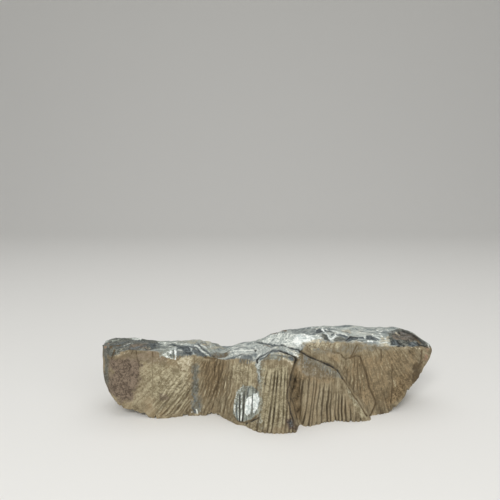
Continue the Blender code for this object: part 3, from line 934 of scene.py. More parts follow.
HUMP = [
    Patch("olive beside the lip", GREY, 0.7, 1.5, [(200, 343), (206, 347), (213, 352), (213, 357), (205, 357),
          (201, 350)]),
    Patch("pale hump", STRAW, 0.4, 2.5, [(176, 340), (190, 336), (206, 338), (222, 345), (228, 349),
          (222, 351), (210, 347), (200, 342.5), (188, 343.5), (176, 343)]),
    Mark("pale ledge", CHALK, 0.6, 0.9, [(159, 341.3), (165, 342), (172, 342), (180, 342.8), (190, 343.7)]),
    Mark("ledge line", SLATE, 1.0, 0.85, [(156.5, 341), (160, 342.8), (166, 343.5), (172, 343.2), (174, 344),
         (180, 344.7), (186, 345.4), (190, 345.6), (195, 346.2)], 0.6),
    Mark("curved line", SLATE, 1.0, 1.25, [(191, 346), (195.5, 346.5), (198, 348.4), (201, 351.3),
         (203.5, 353.8), (206, 357)], 0.8),
    Mark("black in the curved line", BLACK, 0.6, 0.6, [(194.5, 346.2), (197.5, 348), (200, 350.4)]),
    Mark("white lip", CHALK, 0.7, 0.9, [(195, 344.6), (198, 346), (201, 348.6), (205, 352.4), (208, 355)]),
    Mark("inner line", SLATE, 0.9, 1.0, [(198.5, 343.5), (202, 346), (206, 349.6), (209, 353), (211, 356.5)],
         0.3),
    Mark("second white lip", CHALK, 0.55, 0.7, [(200, 342.6), (204, 345.2), (208, 348.4), (212, 353)]),
    Mark("outer line", UMBER, 0.5, 0.8, [(201, 341.5), (207, 345.4), (212, 349.6), (215, 353)]),
    Mark("grey between", SLATE, 0.95, 1.6, [(193, 350), (198, 352.6), (203, 356)]),
    Mark("upper flowing line", SLATE, 0.45, 0.65, [(176, 341.4), (186, 341.5), (196, 340.8), (204, 342.4),
         (212, 346.4), (222, 350)]),
    Mark("crest shadow", SLATE, 0.5, 0.7, [(211, 343), (217, 345.6), (224, 347.6)]),
    Spot("hole", BLACK, 1.0, 1.4, [(213.5, 356.2)], 1.6),
    Mark("hole's tail", BLACK, 0.85, 0.8, [(214, 356.5), (216.5, 357.5), (219, 358.6)], 0.5),
    Mark("hump's foot", SOIL, 0.9, 0.9, [(204, 357.4), (208, 358.2), (212, 358.8), (216, 359)], 0.3),
    Patch("grey round the saddle", GREY, 0.6, 3.0, [(205, 346), (222, 349), (234, 351), (232, 358),
          (210, 358)]),
    Patch("brown saddle", SOIL, 0.58, 3.4, [(211, 352), (219, 350.5), (228, 351), (228, 359), (212, 360)]),
    Patch("earthy valley", WARM, 0.62, 7, [(201, 361), (226, 360), (228, 380), (225, 397), (203, 400)]),
    Hatch("valley furrows", SOIL, 0.85, 3, [(200, 361), (228, 360), (232, 392), (236, 414), (200, 414)],
          cut=0.2, slope=77, pitch=3.0, line=0.7),
    Hatch("valley ribs", STRAW, 0.75, 3, [(202, 384), (230, 376), (236, 412), (202, 413)], slope=77,
          pitch=3.3, line=0.65),
    Mark("dark valley line", SOIL, 1.0, 0.8, [(219, 360), (218.4, 368), (217.6, 378), (216.4, 390)], 0.4),
    Mark("left valley line", SOIL, 0.8, 0.7, [(210, 360.5), (208, 367), (206, 374)], 0.2),
]

BUTTRESS = [
    Mark("rim line", SLATE, 1.0, 0.8, [(225.5, 358.7), (229, 358), (233, 356.6), (236, 355.2), (240, 354)],
         0.4),
    Mark("rim line's end", SLATE, 0.7, 0.6, [(240, 354), (246, 353.4), (252, 353.7), (257, 354.4)]),
    Hatch("fringe", SLATE, 1.0, 1.6, [(235, 355.5), (242, 354.5), (253, 355), (254, 361), (249, 364),
          (240, 363)], slope=87, pitch=2.3, line=0.85),
    Patch("violet under the rim", SLATE, 0.6, 1.5, [(240, 354.5), (252, 355), (253, 360), (243, 361)]),
    Hatch("pale drips", STRAW, 0.7, 2, [(227, 360), (257, 361), (256, 369), (229, 370)], slope=88, pitch=3.0,
          line=0.7),
    Patch("buttress's khaki face", KHAKI, 0.55, 5, [(228, 364), (256, 366), (257, 390), (236, 388)]),
    Patch("blue vein", GREY, 1.0, 2.6, [(256.5, 363), (261, 362), (261, 380), (257, 384)]),
    Patch("pale heart of the vein", CHALK, 0.55, 2.4, [(257, 361), (260.5, 361), (260.5, 378), (258, 382)]),
    Hatch("lines in the vein", SLATE, 0.36, 1.5, [(255, 364), (263, 363), (262, 395), (254, 396)], slope=90,
          pitch=2.6, line=0.6),
    Mark("notch", BLACK, 1.0, 1.0, [(257.6, 358), (256.4, 360), (256.8, 362.3)], 0.7),
    Spot("upper pit", BLACK, 0.8, 1.0, [(265, 384)], 0.6),
    Spot("lower pit", BLACK, 0.7, 0.9, [(255, 391)], 0.6),
    Patch("grey lens", GREY, 0.8, 1.6, [(243, 386), (251, 386), (258, 391), (260, 402), (258, 413),
          (252, 419), (241, 423), (235, 420), (232.5, 411), (234, 400), (238, 391)]),
    Mark("lens's rim", CHALK, 0.6, 0.7, [(243, 386.5), (238, 392), (234.5, 400), (233, 410)]),
    Patch("calcite, left", WHITE, 1.0, 1.2, [(246, 400), (248, 397), (251, 396), (250.6, 412), (248, 416.5),
          (244.8, 413), (244.6, 406)]),
    Patch("calcite, right", WHITE, 1.0, 1.2, [(252.6, 394), (256.5, 394), (258, 400), (257.8, 408),
          (254, 413.5), (252, 412)]),
    Mark("split in the calcite", SLATE, 0.9, 0.5, [(253, 387), (252, 396), (251.4, 404), (251, 414)], 0.2),
    Mark("grey in the calcite", SLATE, 0.5, 0.55, [(248.4, 401), (247.8, 412)]),
    Mark("dark stripe 1", SLATE, 1.0, 0.8, [(236.4, 403), (236, 412), (237.6, 421)], 0.2),
    Mark("dark stripe 2", BLACK, 1.0, 0.8, [(240, 395), (239.2, 408), (239.8, 422)], 0.2),
    Mark("dark stripe 3", BLACK, 0.95, 0.85, [(244.2, 392), (243.2, 404), (242.6, 421)], 0.2),
    Mark("dark stripe 4", SLATE, 0.9, 0.7, [(249, 387), (247.6, 393), (246.4, 398)]),
    Mark("dark stripe 5", SLATE, 0.8, 0.7, [(246.4, 417), (247, 421)]),
    Mark("pale stripe 1", CHALK, 0.65, 0.7, [(238, 398), (237.6, 408), (238, 417)]),
    Mark("pale stripe 2", CHALK, 0.95, 0.75, [(241.9, 393), (241, 406), (241, 420)]),
    Mark("pale stripe 3", CHALK, 0.7, 0.6, [(234.4, 405), (234.4, 414)]),
    Mark("edge of the lens", SOIL, 0.85, 0.8, [(233.5, 417), (238, 422), (244, 423), (250, 420.4),
         (256, 416.6)], 0.3),
    Patch("ashen foot", KHAKI, 0.5, 2.0, [(243, 421), (258, 418), (258, 431), (243, 427)]),
    Mark("wedge crack", BLACK, 0.9, 0.75, [(246, 424), (250, 421.5), (258, 418)], 0.7),
]

PROW = [
    Mark("outer rim line", SLATE, 1.0, 0.85, [(257, 358.5), (260, 356.4), (264, 354.6), (268, 352.6),
         (272, 351.2), (276, 350.4), (280, 350.2)], 0.5),
    Mark("inner rim line", SLATE, 1.0, 0.8, [(260, 359), (264, 357.8), (268, 355.6), (271, 353.6), (274, 352),
         (278, 351.4)]),
    Mark("blue white between them", CHALK, 0.95, 0.75, [(262.5, 356.8), (266, 355.4), (270, 352.9)]),
    Mark("blue white above", CHALK, 0.85, 0.9, [(257.5, 356), (261, 354), (266, 352)]),
    Mark("right rim line", BLACK, 1.0, 0.95, [(279, 350.2), (282, 351), (286, 352.4), (290, 353.7),
         (293, 355.4), (295.6, 357.4), (296, 359.6), (295, 362.5)], 0.9),
    Patch("prow's left shade", GREY, 0.5, 4, [(257, 366), (264, 364), (262, 428), (257, 426)]),
    Patch("grey under the rim", GREY, 0.6, 1.8, [(264, 360), (270, 355), (278, 352.4), (288, 354),
          (294, 357.5), (293, 362), (284, 359), (272, 360)]),
    Mark("dark arc", SLATE, 0.8, 0.7, [(272, 356), (277, 354.8), (283, 355.4), (288, 357.6)]),
    Mark("lower dark arc", SLATE, 0.6, 0.8, [(263, 361), (268, 359), (274, 358.2), (279, 358.6)]),
    Patch("prow's dark facet", SLATE, 0.85, 1.0, [(287.5, 356), (292, 356.4), (295, 359), (293, 361.4),
          (289, 359)]),
    Mark("whitish edge", CREAM, 0.7, 0.9, [(280.5, 357.8), (284.5, 358.4), (288.5, 361), (292.3, 363.6)]),
    Patch("pale below the arc", CREAM, 0.4, 1.5, [(276, 352.6), (284, 352.8), (286, 355), (276, 354.6)]),
    Mark("prow's edge", SOIL, 0.8, 1.1, [(295, 362), (293, 367), (290.8, 375), (288.6, 390), (288, 397),
         (290.5, 410), (295, 423), (297, 428)], 0.4),
    Mark("edge's shadow", BLACK, 0.7, 0.65, [(291, 376), (289, 390), (288.6, 397), (291, 410), (295, 422)],
         0.3),
    Patch("blob", UMBER, 0.9, 2.0, [(286, 420), (296, 418), (298, 431), (288, 432)]),
    Hatch("lines on the blob", BLACK, 0.8, 2.0, [(286, 419), (296, 418), (298, 431), (288, 432)], slope=6,
          pitch=3.0, line=0.8),
    Patch("blob's sheen", SLATE, 0.55, 1.5, [(288, 421), (295, 420), (296, 428), (289, 429)]),
    Patch("prow's face", KHAKI, 0.85, 4, [(260, 366), (288, 366), (286, 428), (258, 428)]),
]

CLEFT = [
    Patch("earthy cleft", WARM, 0.6, 3, [(291, 367), (300, 366), (300, 395), (300, 423), (294, 418),
          (289, 398)]),
    Mark("fork", BLACK, 0.7, 0.65, [(294.5, 386), (292.5, 397), (291, 405)], 0.5),
    Mark("fork's right arm", BLACK, 0.65, 0.65, [(292.5, 397), (296, 408), (298.5, 420)], 0.5),
    Mark("fork's bar", BLACK, 0.7, 0.6, [(299, 397), (293, 399)]),
    Mark("slanting crack 1", BLACK, 0.7, 0.65, [(291, 374), (297, 382)]),
    Mark("slanting crack 2", BLACK, 0.7, 0.65, [(290, 384), (294, 392)]),
    Mark("lobe's corner", SOIL, 0.8, 0.75, [(300, 372), (299, 385), (300, 397), (300, 423)]),
]

LOBE = [
    Patch("brown shoulder", WARM, 0.6, 5, [(298, 360), (304, 356), (320, 364), (334, 374), (340, 382),
          (320, 382), (300, 380)]),
    Patch("olive at the lobe's top", ASH, 0.42, 5, [(300, 358), (312, 362), (330, 374), (326, 380),
          (302, 376)]),
    Patch("grey crest", ASH, 0.52, 3.4, [(300, 352), (309, 354), (325, 362), (340, 374), (344, 380),
          (334, 377), (318, 368), (304, 362)]),
    Hatch("lines under the crest", SLATE, 0.5, 2.5, [(300, 353), (309, 354.5), (325, 362), (340, 373.5),
          (344, 381), (334, 380), (318, 374), (304, 368)], slope=87, pitch=2.4, line=0.7),
    Hatch("pale lines under it", STRAW, 0.35, 2.5, [(302, 356), (325, 364), (340, 376), (342, 384),
          (320, 378), (302, 370)], slope=87, pitch=2.9, line=0.6),
    Mark("seam", SLATE, 1.0, 0.9, [(257, 342), (264, 342.7), (268, 343.4), (272, 345.2), (276, 344.8),
         (280, 344.6), (284, 345.8), (288, 347.8), (292, 348.8), (296, 349.8), (300, 351)], 0.8),
    Mark("seam's heart", BLACK, 0.8, 0.65, [(280, 344.8), (284, 345.9), (288, 347.8), (292, 348.8),
         (296, 349.8), (300, 351)]),
    # The black along the lobe's crest is partly the crack itself and partly a painted shadow under the crest.
    Mark("crest crack with painted shadow", BLACK, 1.0, 1.15, [(299, 350.5), (304, 352.9), (308, 354.7), (313, 356.8),
         (318, 358.8), (325, 361.6), (331, 364.5), (337, 369), (341, 374), (344, 378.5)], 1.8),
    Mark("wide part of the crack and its painted shadow", BLACK, 1.0, 1.5, [(300, 351.2), (308, 354.6), (318, 358.8), (325, 361.6),
         (329, 363.6)], 1.8),
    Mark("crest's end", SOIL, 1.0, 0.9, [(344, 378.5), (348, 384), (352, 391), (357, 399), (362, 408),
         (369, 418)], 0.6),
    Patch("green band", KHAKI, 0.75, 2.0, [(345, 386), (349, 385), (358, 399), (366, 414), (370, 420),
          (362, 419), (352, 402)]),
    Patch("pale in the band", GREY, 0.35, 2.0, [(345, 387), (349, 386), (358, 400), (364, 412), (352, 402)]),
]

RIGHT_BLOCK = [
    Patch("warm face", WARM, 0.56, 9, [(352, 352), (420, 350), (418, 380), (392, 405), (374, 412), (352, 396),
          (344, 372)]),
    # The long furrow's dark line is partly brown soil in the groove and partly painted shade in it.
    Mark("long furrow with painted shade", SOIL, 0.95, 1.0, [(361, 357), (364, 366), (367, 375), (369.5, 388), (373.5, 396),
         (376, 401), (376, 405), (373.5, 410), (371, 416)], 0.8),
    Mark("loop", SOIL, 1.0, 0.9, [(333, 352), (337, 352.6), (341, 354), (343, 357), (346, 358.7),
         (349, 357.7), (352, 357), (357, 355.4), (361, 357)], 0.5),
    Mark("loop's branch", SOIL, 0.85, 0.8, [(350.5, 357), (353, 352), (355.5, 348), (357, 344.5)], 0.3),
    Mark("loop's second branch", SOIL, 0.6, 0.7, [(353, 356), (356.5, 351), (359, 347)]),
    Hatch("upright furrows", SOIL, 0.95, 2.5, [(341, 359), (363, 357), (370, 390), (356, 394), (345, 380)],
          cut=0.35, slope=91, pitch=3.3, line=0.75),
    Hatch("upright ribs", KHAKI, 0.85, 2.5, [(343, 359), (363, 358), (369, 388), (356, 392), (346, 380)],
          slope=91, pitch=3.9, line=0.7),
    Hatch("slanting furrows", SOIL, 0.7, 3, [(398, 350), (421, 350), (420, 362), (408, 366)], cut=0.2,
          slope=-43, pitch=4.2, line=0.7),
    Hatch("faint slanting lines", SOIL, 0.4, 4, [(382, 350), (400, 350), (410, 372), (392, 378)], slope=-56,
          pitch=4.4, line=0.8),
    Hatch("steep lines", SOIL, 0.4, 4, [(368, 352), (392, 356), (400, 392), (376, 402)], cut=0.15, slope=-82,
          pitch=4.0, line=0.7),
    Hatch("steep pale lines", KHAKI, 0.6, 4, [(366, 350), (410, 352), (404, 384), (376, 396)], slope=-76,
          pitch=4.3, line=0.65),
    Mark("dark upright 1", SOIL, 0.9, 0.75, [(381.2, 349), (381.5, 361)], 0.2),
    Mark("dark upright 2", SOIL, 0.7, 0.7, [(376, 356), (376.8, 364)]),
    Mark("long upright line", SOIL, 0.9, 0.75, [(392, 365), (392.3, 385), (391.5, 403)], 0.4),
    Mark("corner line", SOIL, 0.9, 0.8, [(422.4, 350), (422.2, 356), (421.5, 362)], 0.4),
    Patch("side facet", SOIL, 0.8, 2.4, [(413, 366), (422, 361), (420, 380), (413, 385)]),
    Patch("yellow chip", RUST, 0.5, 1.3, [(425.5, 346), (429.5, 346), (428.5, 352), (426, 352)]),
    Patch("orange chip", RUST, 0.75, 1.4, [(424.5, 354), (428.5, 354), (426.5, 361), (424, 360)]),
    Patch("earthy foot", WARM, 0.8, 7, [(395, 374), (413, 368), (412, 385), (402, 398), (388, 409),
          (384, 400)]),
    Hatch("scratches at the foot", SOIL, 0.5, 4, [(370, 386), (402, 384), (404, 396), (384, 408), (372, 406)],
          slope=-34, pitch=3.2, line=0.6),
    Patch("brown behind the crest", WARM, 0.5, 2, [(328, 358), (337, 354), (340, 362), (336, 364)]),
]

PLATEAU = [
    Patch("bare slope", BARE, 1.0, 3.5, [(303, 343), (312, 343), (322, 341.5), (330, 340.5), (346, 341),
          (358, 342.5), (380, 345.5), (400, 347), (421, 347.5), (421, 352), (340, 362), (320, 361),
          (306, 356)]),
    Patch("tan on the slope", ASH, 0.46, 4.0, [(304, 344), (330, 342), (372, 345), (400, 348), (370, 352),
          (336, 354), (316, 354)]),
    Patch("white slope", CHALK, 0.72, 2.6, [(262, 342), (268, 336), (276, 333.5), (290, 333), (306, 334.5),
          (318, 336), (322, 339), (312, 341), (303, 342), (298, 349), (288, 346.6), (280, 344), (270, 343)]),
    Patch("brightest slope", WHITE, 1.0, 1.8, [(296, 335), (312, 335.4), (314, 339.6), (302, 341), (298, 346),
          (292, 343)]),
    Patch("fading into tan", STRAW, 0.45, 4.0, [(300, 341), (322, 340), (345, 342), (336, 349), (312, 352)]),
    Patch("cream in the slope", CREAM, 0.6, 3.0, [(302, 338), (315, 338), (322, 340), (318, 345),
          (306, 344)]),
    Hatch("grey hatching", SLATE, 0.6, 2.5, [(262, 341), (270, 333), (292, 332), (296, 340), (282, 344),
          (268, 343)], slope=50, pitch=2.8, line=0.6),
    Mark("rusty crest", UMBER, 0.85, 1.2, [(271, 333), (279, 330.8), (286, 331)]),
    Patch("slate band", SLATE, 0.5, 1.3, [(287, 333), (292, 330.5), (304, 328.4), (316, 327.6), (316, 333),
          (300, 334.3)]),
    Hatch("pale strokes in it", CHALK, 0.9, 1.2, [(287, 334), (298, 328), (318, 327), (318, 334)], slope=38,
          pitch=3.1, line=0.7),
    Spot("grey dot", SLATE, 0.8, 1.2, [(286.5, 339.5)]),
    Patch("bluish dab", SLATE, 0.5, 1.2, [(313, 348.5), (320, 347.6), (321, 350), (314, 350.6)]),
    Patch("pale middle", CHALK, 0.5, 2.0, [(229, 349), (240, 344), (252, 343), (262, 344), (270, 347),
          (279, 347), (288, 349.5), (297, 353), (300, 360), (297, 357), (288, 352), (279, 349), (268, 350),
          (258, 354), (250, 352.5), (238, 353), (229, 357)]),
    Patch("cream at the seam", CREAM, 0.5, 1.2, [(284, 349), (292, 350.4), (300, 352.6), (303, 358),
          (298, 357), (290, 352.4)]),
    Mark("thin line 1", SLATE, 0.55, 0.7, [(232, 350.4), (240, 347.6), (250, 346.7), (256, 347.3),
         (262, 348.5)]),
    Mark("thin line 2", SLATE, 0.4, 0.65, [(238, 351.6), (250, 351.4), (262, 351.2), (270, 349.6)]),
    Mark("thin line 3", SLATE, 0.4, 0.65, [(236, 346.4), (246, 345), (256, 344.8), (264, 346)]),
    Mark("thin line 4", SLATE, 0.4, 0.65, [(264, 347.4), (272, 349), (282, 348.6)]),
    Mark("thin line 5", UMBER, 0.7, 0.9, [(263, 344.6), (267, 345), (270, 346.6)]),
    Spot("pit", BLACK, 1.0, 1.1, [(255.4, 349.6)], 1.5),
    Patch("green dab", KHAKI, 0.5, 1.2, [(271, 346.5), (279, 346.5), (279, 349), (271, 349)]),
    Patch("facet 1", SLATE, 0.95, 0.7, [(317, 329.5), (320, 327.4), (322.6, 331), (321, 332.8),
          (314.5, 332.6)]),
    Patch("facet 2", ASH, 0.9, 0.8, [(320.5, 333), (325, 333.4), (328, 336.5), (330.4, 340), (323.5, 339.4)]),
    Mark("shadow of facet 2", SLATE, 0.8, 0.7, [(326, 334.6), (329, 338.4), (330, 340)]),
    Mark("white fold", WHITE, 1.0, 0.85, [(322.6, 328.6), (325, 332), (328, 335.2), (330.2, 338), (333, 337),
         (336, 334.6), (338, 333.6)]),
    Mark("dark fold", SLATE, 1.0, 0.8, [(325, 330), (330, 331.6), (334, 332.6)]),
    Patch("facet 3", SLATE, 0.95, 0.7, [(330.6, 334), (335.6, 332), (334, 334.4), (331.6, 335.8)]),
    Mark("white over it", CHALK, 0.9, 0.7, [(326, 329), (330, 330.2), (335, 331.3), (340, 332.5),
         (347, 335)]),
    Mark("dark band", SLATE, 1.0, 0.85, [(336.5, 334.2), (341, 335), (347, 336.8)]),
    Patch("brown facet", ASH, 0.85, 1.0, [(334, 337.6), (338, 335.6), (347, 337.6), (346, 340), (333, 340)]),
    Patch("facet 4", SLATE, 1.0, 0.7, [(346.6, 339), (350, 336.7), (357, 336.6), (358.4, 339.4), (354, 341),
          (349.6, 341)]),
    Mark("black edge of facet 4", BLACK, 0.95, 0.75, [(346.6, 339.6), (349.6, 337), (354, 336.4),
         (358, 337)]),
    Patch("facet 5", SLATE, 0.8, 0.8, [(358.5, 336), (364, 335.6), (364, 339), (359.6, 339.4)]),
    Mark("white rib", CHALK, 1.0, 0.65, [(364.6, 335), (364.8, 339)]),
    Mark("green shade", SLATE, 0.75, 0.9, [(357.6, 341), (362, 341.5), (366.5, 341)]),
    Patch("facet 6", SLATE, 0.95, 0.7, [(366, 334.4), (371, 334), (375, 337), (377.4, 340), (366, 339.6)]),
    Mark("white scratch 1", CHALK, 1.0, 0.6, [(371, 335.2), (377.4, 340)]),
    Mark("white scratch 2", CHALK, 1.0, 0.65, [(372.4, 333.5), (380, 338.4)]),
    Mark("dark between them", SLATE, 0.9, 0.6, [(373.5, 335.8), (379, 339.4)]),
    Patch("white dab", WHITE, 1.0, 0.7, [(366.5, 340.3), (373.6, 340.3), (373.6, 342.2), (368, 342.2)]),
    Mark("white beside it", CHALK, 0.8, 0.8, [(376, 341.6), (382, 342.4), (387, 342)]),
    Hatch("streaks along the back", CHALK, 0.6, 1.5, [(330, 327), (345, 327.5), (400, 328), (390, 336),
          (350, 334.6), (336, 331)], slope=-8, pitch=2.2, line=0.65),
    Hatch("grey streaks there", SLATE, 0.6, 1.5, [(330, 327), (345, 327.5), (398, 328), (388, 337),
          (350, 334.6), (336, 331)], slope=-12, pitch=2.7, line=0.6),
    Patch("pink among the streaks", CREAM, 0.6, 1.2, [(338, 328), (350, 329), (352, 333), (342, 331.6)]),
    Patch("mottled cream", CREAM, 0.55, 2.5, [(380, 338), (388, 335), (390, 345), (378, 346)]),
    Mark("cream nick", CHALK, 1.0, 0.8, [(385, 336.6), (385.8, 339.6)]),
    Mark("white nick", CHALK, 0.95, 0.8, [(379, 333), (382, 335)]),
    Patch("brown corner", ASH, 1.0, 2.0, [(388, 333), (400, 328.5), (414, 332), (428, 340), (431, 347),
          (420, 347), (400, 346), (390, 345)]),
    Patch("slate in the corner", SLATE, 0.34, 2.0, [(392, 333), (402, 330), (414, 334), (420, 341),
          (406, 340), (394, 338)]),
    Patch("umber in the corner", UMBER, 0.6, 1.6, [(390, 335), (400, 331), (414, 334), (420, 341), (408, 341),
          (396, 340)]),
    Patch("olive in the corner", KHAKI, 0.35, 1.2, [(391, 331.6), (395.4, 331), (395, 336), (391, 336)]),
    Patch("tan between the facets", KHAKI, 0.42, 1.3, [(400, 338.6), (408, 338.6), (407, 343.6), (401, 345)]),
    Mark("cream tick", CREAM, 1.0, 0.8, [(395.6, 333), (399.4, 335.2)]),
    Mark("dark tick", BLACK, 0.8, 0.7, [(398, 332), (400.4, 334.6)]),
    Mark("corner's dark rim", BLACK, 0.75, 1.0, [(402, 330.6), (408, 333.2), (414, 336.6), (419, 340),
         (424, 343.6)]),
    Mark("dark red in the corner", SOIL, 0.9, 1.3, [(414, 336.4), (417, 340), (420, 342.6)]),
    Mark("pale outer band", CHALK, 0.65, 0.8, [(411, 332.6), (417, 335.8), (423, 339.6), (427.6, 343.6),
         (429, 347)]),
    Patch("facet 7", SLATE, 0.85, 0.8, [(390, 341.6), (394, 339.6), (398, 341), (400.4, 344), (400, 346.2),
          (392, 345)]),
    Patch("light in facet 7", ASH, 1.0, 0.8, [(391, 342), (395, 342), (395, 344.4), (392, 344.4)]),
    Mark("black in facet 7", BLACK, 0.95, 0.85, [(397, 341.6), (400, 344), (400, 346), (397, 346)]),
    Spot("black dot", BLACK, 1.0, 1.1, [(403.8, 345.4)], 0.4),
    Patch("facet 8", SLATE, 1.0, 0.8, [(408, 343.4), (412, 341), (416, 342), (419, 345), (418, 346.6),
          (410, 346.4)]),
    Spot("pale dot", CHALK, 1.0, 1.0, [(410.3, 343.8)]),
    Mark("pale sill of facet 8", CREAM, 0.45, 0.8, [(404, 347.6), (412, 347.6), (420, 348.6)]),
    Mark("black nick 1", BLACK, 1.0, 0.95, [(417, 343), (419, 344.6), (422, 345.4)]),
    Mark("black nick 2", BLACK, 1.0, 0.85, [(423, 345.2), (427, 346.8)]),
    Hatch("mottled edge of the plateau", SOIL, 0.6, 1.5, [(374, 342.6), (392, 345.6), (404, 347), (404, 349),
          (376, 347.6)], slope=60, pitch=3.1, line=0.9),
]

DRAWN_MARKS = [*LEFT_BLOCK, *HUMP, *POCKET, *BUTTRESS, *PROW, *CLEFT, *LOBE, *RIGHT_BLOCK, *PLATEAU]


@dataclass(frozen=True)
class Carving:
    """What is cut into the block: furrows, ledges, cracks, pits and uneven wear.

    Attributes:
        cliff: The front, which says which mass each point belongs to.
        view: The viewpoint in which the marks are drawn.
        rim: Heights of the cliff's rim, (station, height).
        foot: Heights of its foot.
        back_rim: Heights of the back rim.
        fans: The furrows of each mass.
        wear: Uneven wear all over, as (size along the three axes, height, seed).
    """

    cliff: Cliff = field(default_factory=Cliff)
    view: View = field(default_factory=View)
    rim: Points = field(default_factory=lambda: Block().rim)
    foot: Points = field(default_factory=lambda: Block().foot)
    back_rim: Points = field(default_factory=lambda: Block().back_rim)
    fans: dict[Mass, Fan] = field(default_factory=lambda: {
        Mass.LEFT: Fan((-5, 80), 2.2, 0.7, 11, (), 1.3),
        Mass.BUTTRESS: Fan((-8, 115), 1.8, 0.8, 12, (), 1.4),
        Mass.PROW: Fan((11, 118), 2.3, 1.35, 13, (-9.5, -5.3, -2.3, -0.1, 1.8, 4.1, 6.3, 8.1), 1.1),
        Mass.LOBE: Fan((42, 190), 2.2, 1.25, 14, (16.0, 17.5, 20.7, 23.8, 25.4, 27.8, 30.3, 33.1, 34.8,
                                                  37.5, 39.2, 41.0, 43.0, 45.5, 48.2, 50.5, 53.3, 56.2), 1.3),
        Mass.RIGHT: Fan((45, 75), 2.1, 0.8, 15, (), 1.2),
        Mass.BACK: Fan((-20, 110), 2.6, 0.9, 16, (), 0.7),
    })
    wear: Waves = (((13, 13, 17), 0.8, 3), ((5, 5, 7), 0.4, 4), ((2.2, 2.2, 3.0), 0.18, 5),
                   ((1.1, 1.1, 1.4), 0.08, 6))

    CHIP = 2.4
    CHIP_HEIGHT = (3.0, 0.3)
    CHIP_DEPTH = (4.5, 0.8)
    CHIP_WAVES = (((2.0, 2.0, 60), 1.0, 41), ((1.0, 1.0, 60), 0.8, 42))
    CHIP_LIMIT = 1.2
    LEDGE = 1.5
    LEDGE_SHARE = 0.6
    CRUST = 3.2
    CRUST_EDGE = (0.6, -0.6)
    CRUST_WAVES = (((16, 16, 30), 3.4, 51), ((5, 5, 9), 1.6, 52), ((1.8, 1.8, 4), 1.0, 53))
    LAYER_TILT = (0.03, -0.10)
    LAYER_WAVES = 0.35
    LAYER_WAVE_SIZE = (11, 7, 11)
    LAYER_SEED = 7
    LEDGE_FACE = (0.38, 0.62)
    FACING = (0.35, 0.75)
    FACING_FOR_LEDGES = (0.8, 0.95)
    FACING_UP = (0.25, 0.5)
    FACING_BACK = (-0.2, 0.3)
    FACES_THE_EYE = (0.02, 0.12)
    FACES_BACK = 0.3
    FACES_UP = 0.5
    OVER_RIM = (-0.5, 0.8)
    RIM_WAVES = (((3.0, 3.0, 3.0), 0.8, 21), ((1.2, 1.2, 1.2), 0.4, 22))
    TOP_FLOW = (1.6, 0.3)
    END_FLOW = 0.4
    TOP_TAG = 71.0
    END_TAG = 7.0
    MASS_TAG = 37.0
    RAGGED = ((6.0, 0.5), (2.2, 0.35), (1.0, 0.2))
    RAGGED_SEED = 61
    ROUGH = ((4.0, 0.5), (1.7, 0.45), (0.8, 0.35))
    ROUGH_SEED = 65
    MARK_REACH = 3
    UNDER_CREST = (-6, -16)

    # For each mass: the least strength, what is added to it, and the stations and heights between which
    # that is added. The lobe's also grows away from its crest.
    STRENGTHS = {
        Mass.LEFT: (0.15, 0.45, (-78, -62), (34, 16)),
        Mass.BUTTRESS: (0.45, 0.2, (-20, -32), None),
        Mass.PROW: (0.0, 0.9, None, (41, 29)),
        Mass.LOBE: (0.12, 0.88, None, (36, 24)),
        Mass.RIGHT: (0.4, 0.1, None, (40, 30)),
        Mass.BACK: (1.0, 0.0, None, None),
    }

    def strength(self, mass: Mass, x: np.ndarray, z: np.ndarray) -> np.ndarray:
        """Where the furrows of each mass are deep.

        Args:
            mass: Which mass.
            x: Stations along the stone.
            z: Heights.

        Returns:
            A number from 0 to 1 for each point.
        """
        least, extra, stations, heights = self.STRENGTHS[mass]
        extra = np.full_like(x, extra)
        if stations:
            extra = extra * ease(*stations, x)
        if mass is Mass.LOBE:
            extra = extra * ease(*self.UNDER_CREST, z - through(self.cliff.lobe_crest, x))
        if heights:
            extra = extra * ease(*heights, z)
        return least + extra

    def layer(self, points: np.ndarray) -> np.ndarray:
        """Which of the stone's thin tilted layers each point is in.

        Args:
            points: The points.

        Returns:
            The layer's number, with how far up in it the point is as a fraction.
        """
        x, y, z = points.T
        level = (z + self.LAYER_TILT[0] * x + self.LAYER_TILT[1] * y) / self.LEDGE
        return level + self.LAYER_WAVES * lumps(points, self.LAYER_WAVE_SIZE, self.LAYER_SEED)

    def ledges(self, points: np.ndarray) -> np.ndarray:
        """The plateau's low steps, where the layers end.

        Args:
            points: The points.

        Returns:
            How far each point is raised.
        """
        level = self.layer(points)
        part = level - np.floor(level)
        return self.LEDGE * (ease(*self.LEDGE_FACE, part) - part)

    def crust(self, points: np.ndarray) -> np.ndarray:
        """How fully the plateau's pale crust covers the top of the back, with an uneven lower edge.

        Args:
            points: The points.

        Returns:
            A number from 0 to 1 for each point.
        """
        waves = sum(height * lumps(points, size, seed) for size, height, seed in self.CRUST_WAVES)
        below = through(self.back_rim, points[:, 0]) - points[:, 2]
        return ease(*self.CRUST_EDGE, below - self.CRUST - waves)

    def pale(self, points: np.ndarray, normals: np.ndarray) -> np.ndarray:
        """How fully each point has the plateau's pale finish.

        Args:
            points: The points.
            normals: Their normals.

        Returns:
            A number from 0 to 1 for each point.
        """
        x, y, z = points.T
        rim = through(self.rim, x)
        over_rim = np.maximum(z - rim, y - self.cliff.depth(x, rim))
        for size, height, seed in self.RIM_WAVES:
            over_rim = over_rim + height * lumps(points, size, seed)
        on_top = ease(*self.FACING_UP, normals[:, 2]) * ease(*self.OVER_RIM, over_rim)
        return np.maximum(on_top, ease(*self.FACING_BACK, normals[:, 1]) * self.crust(points))

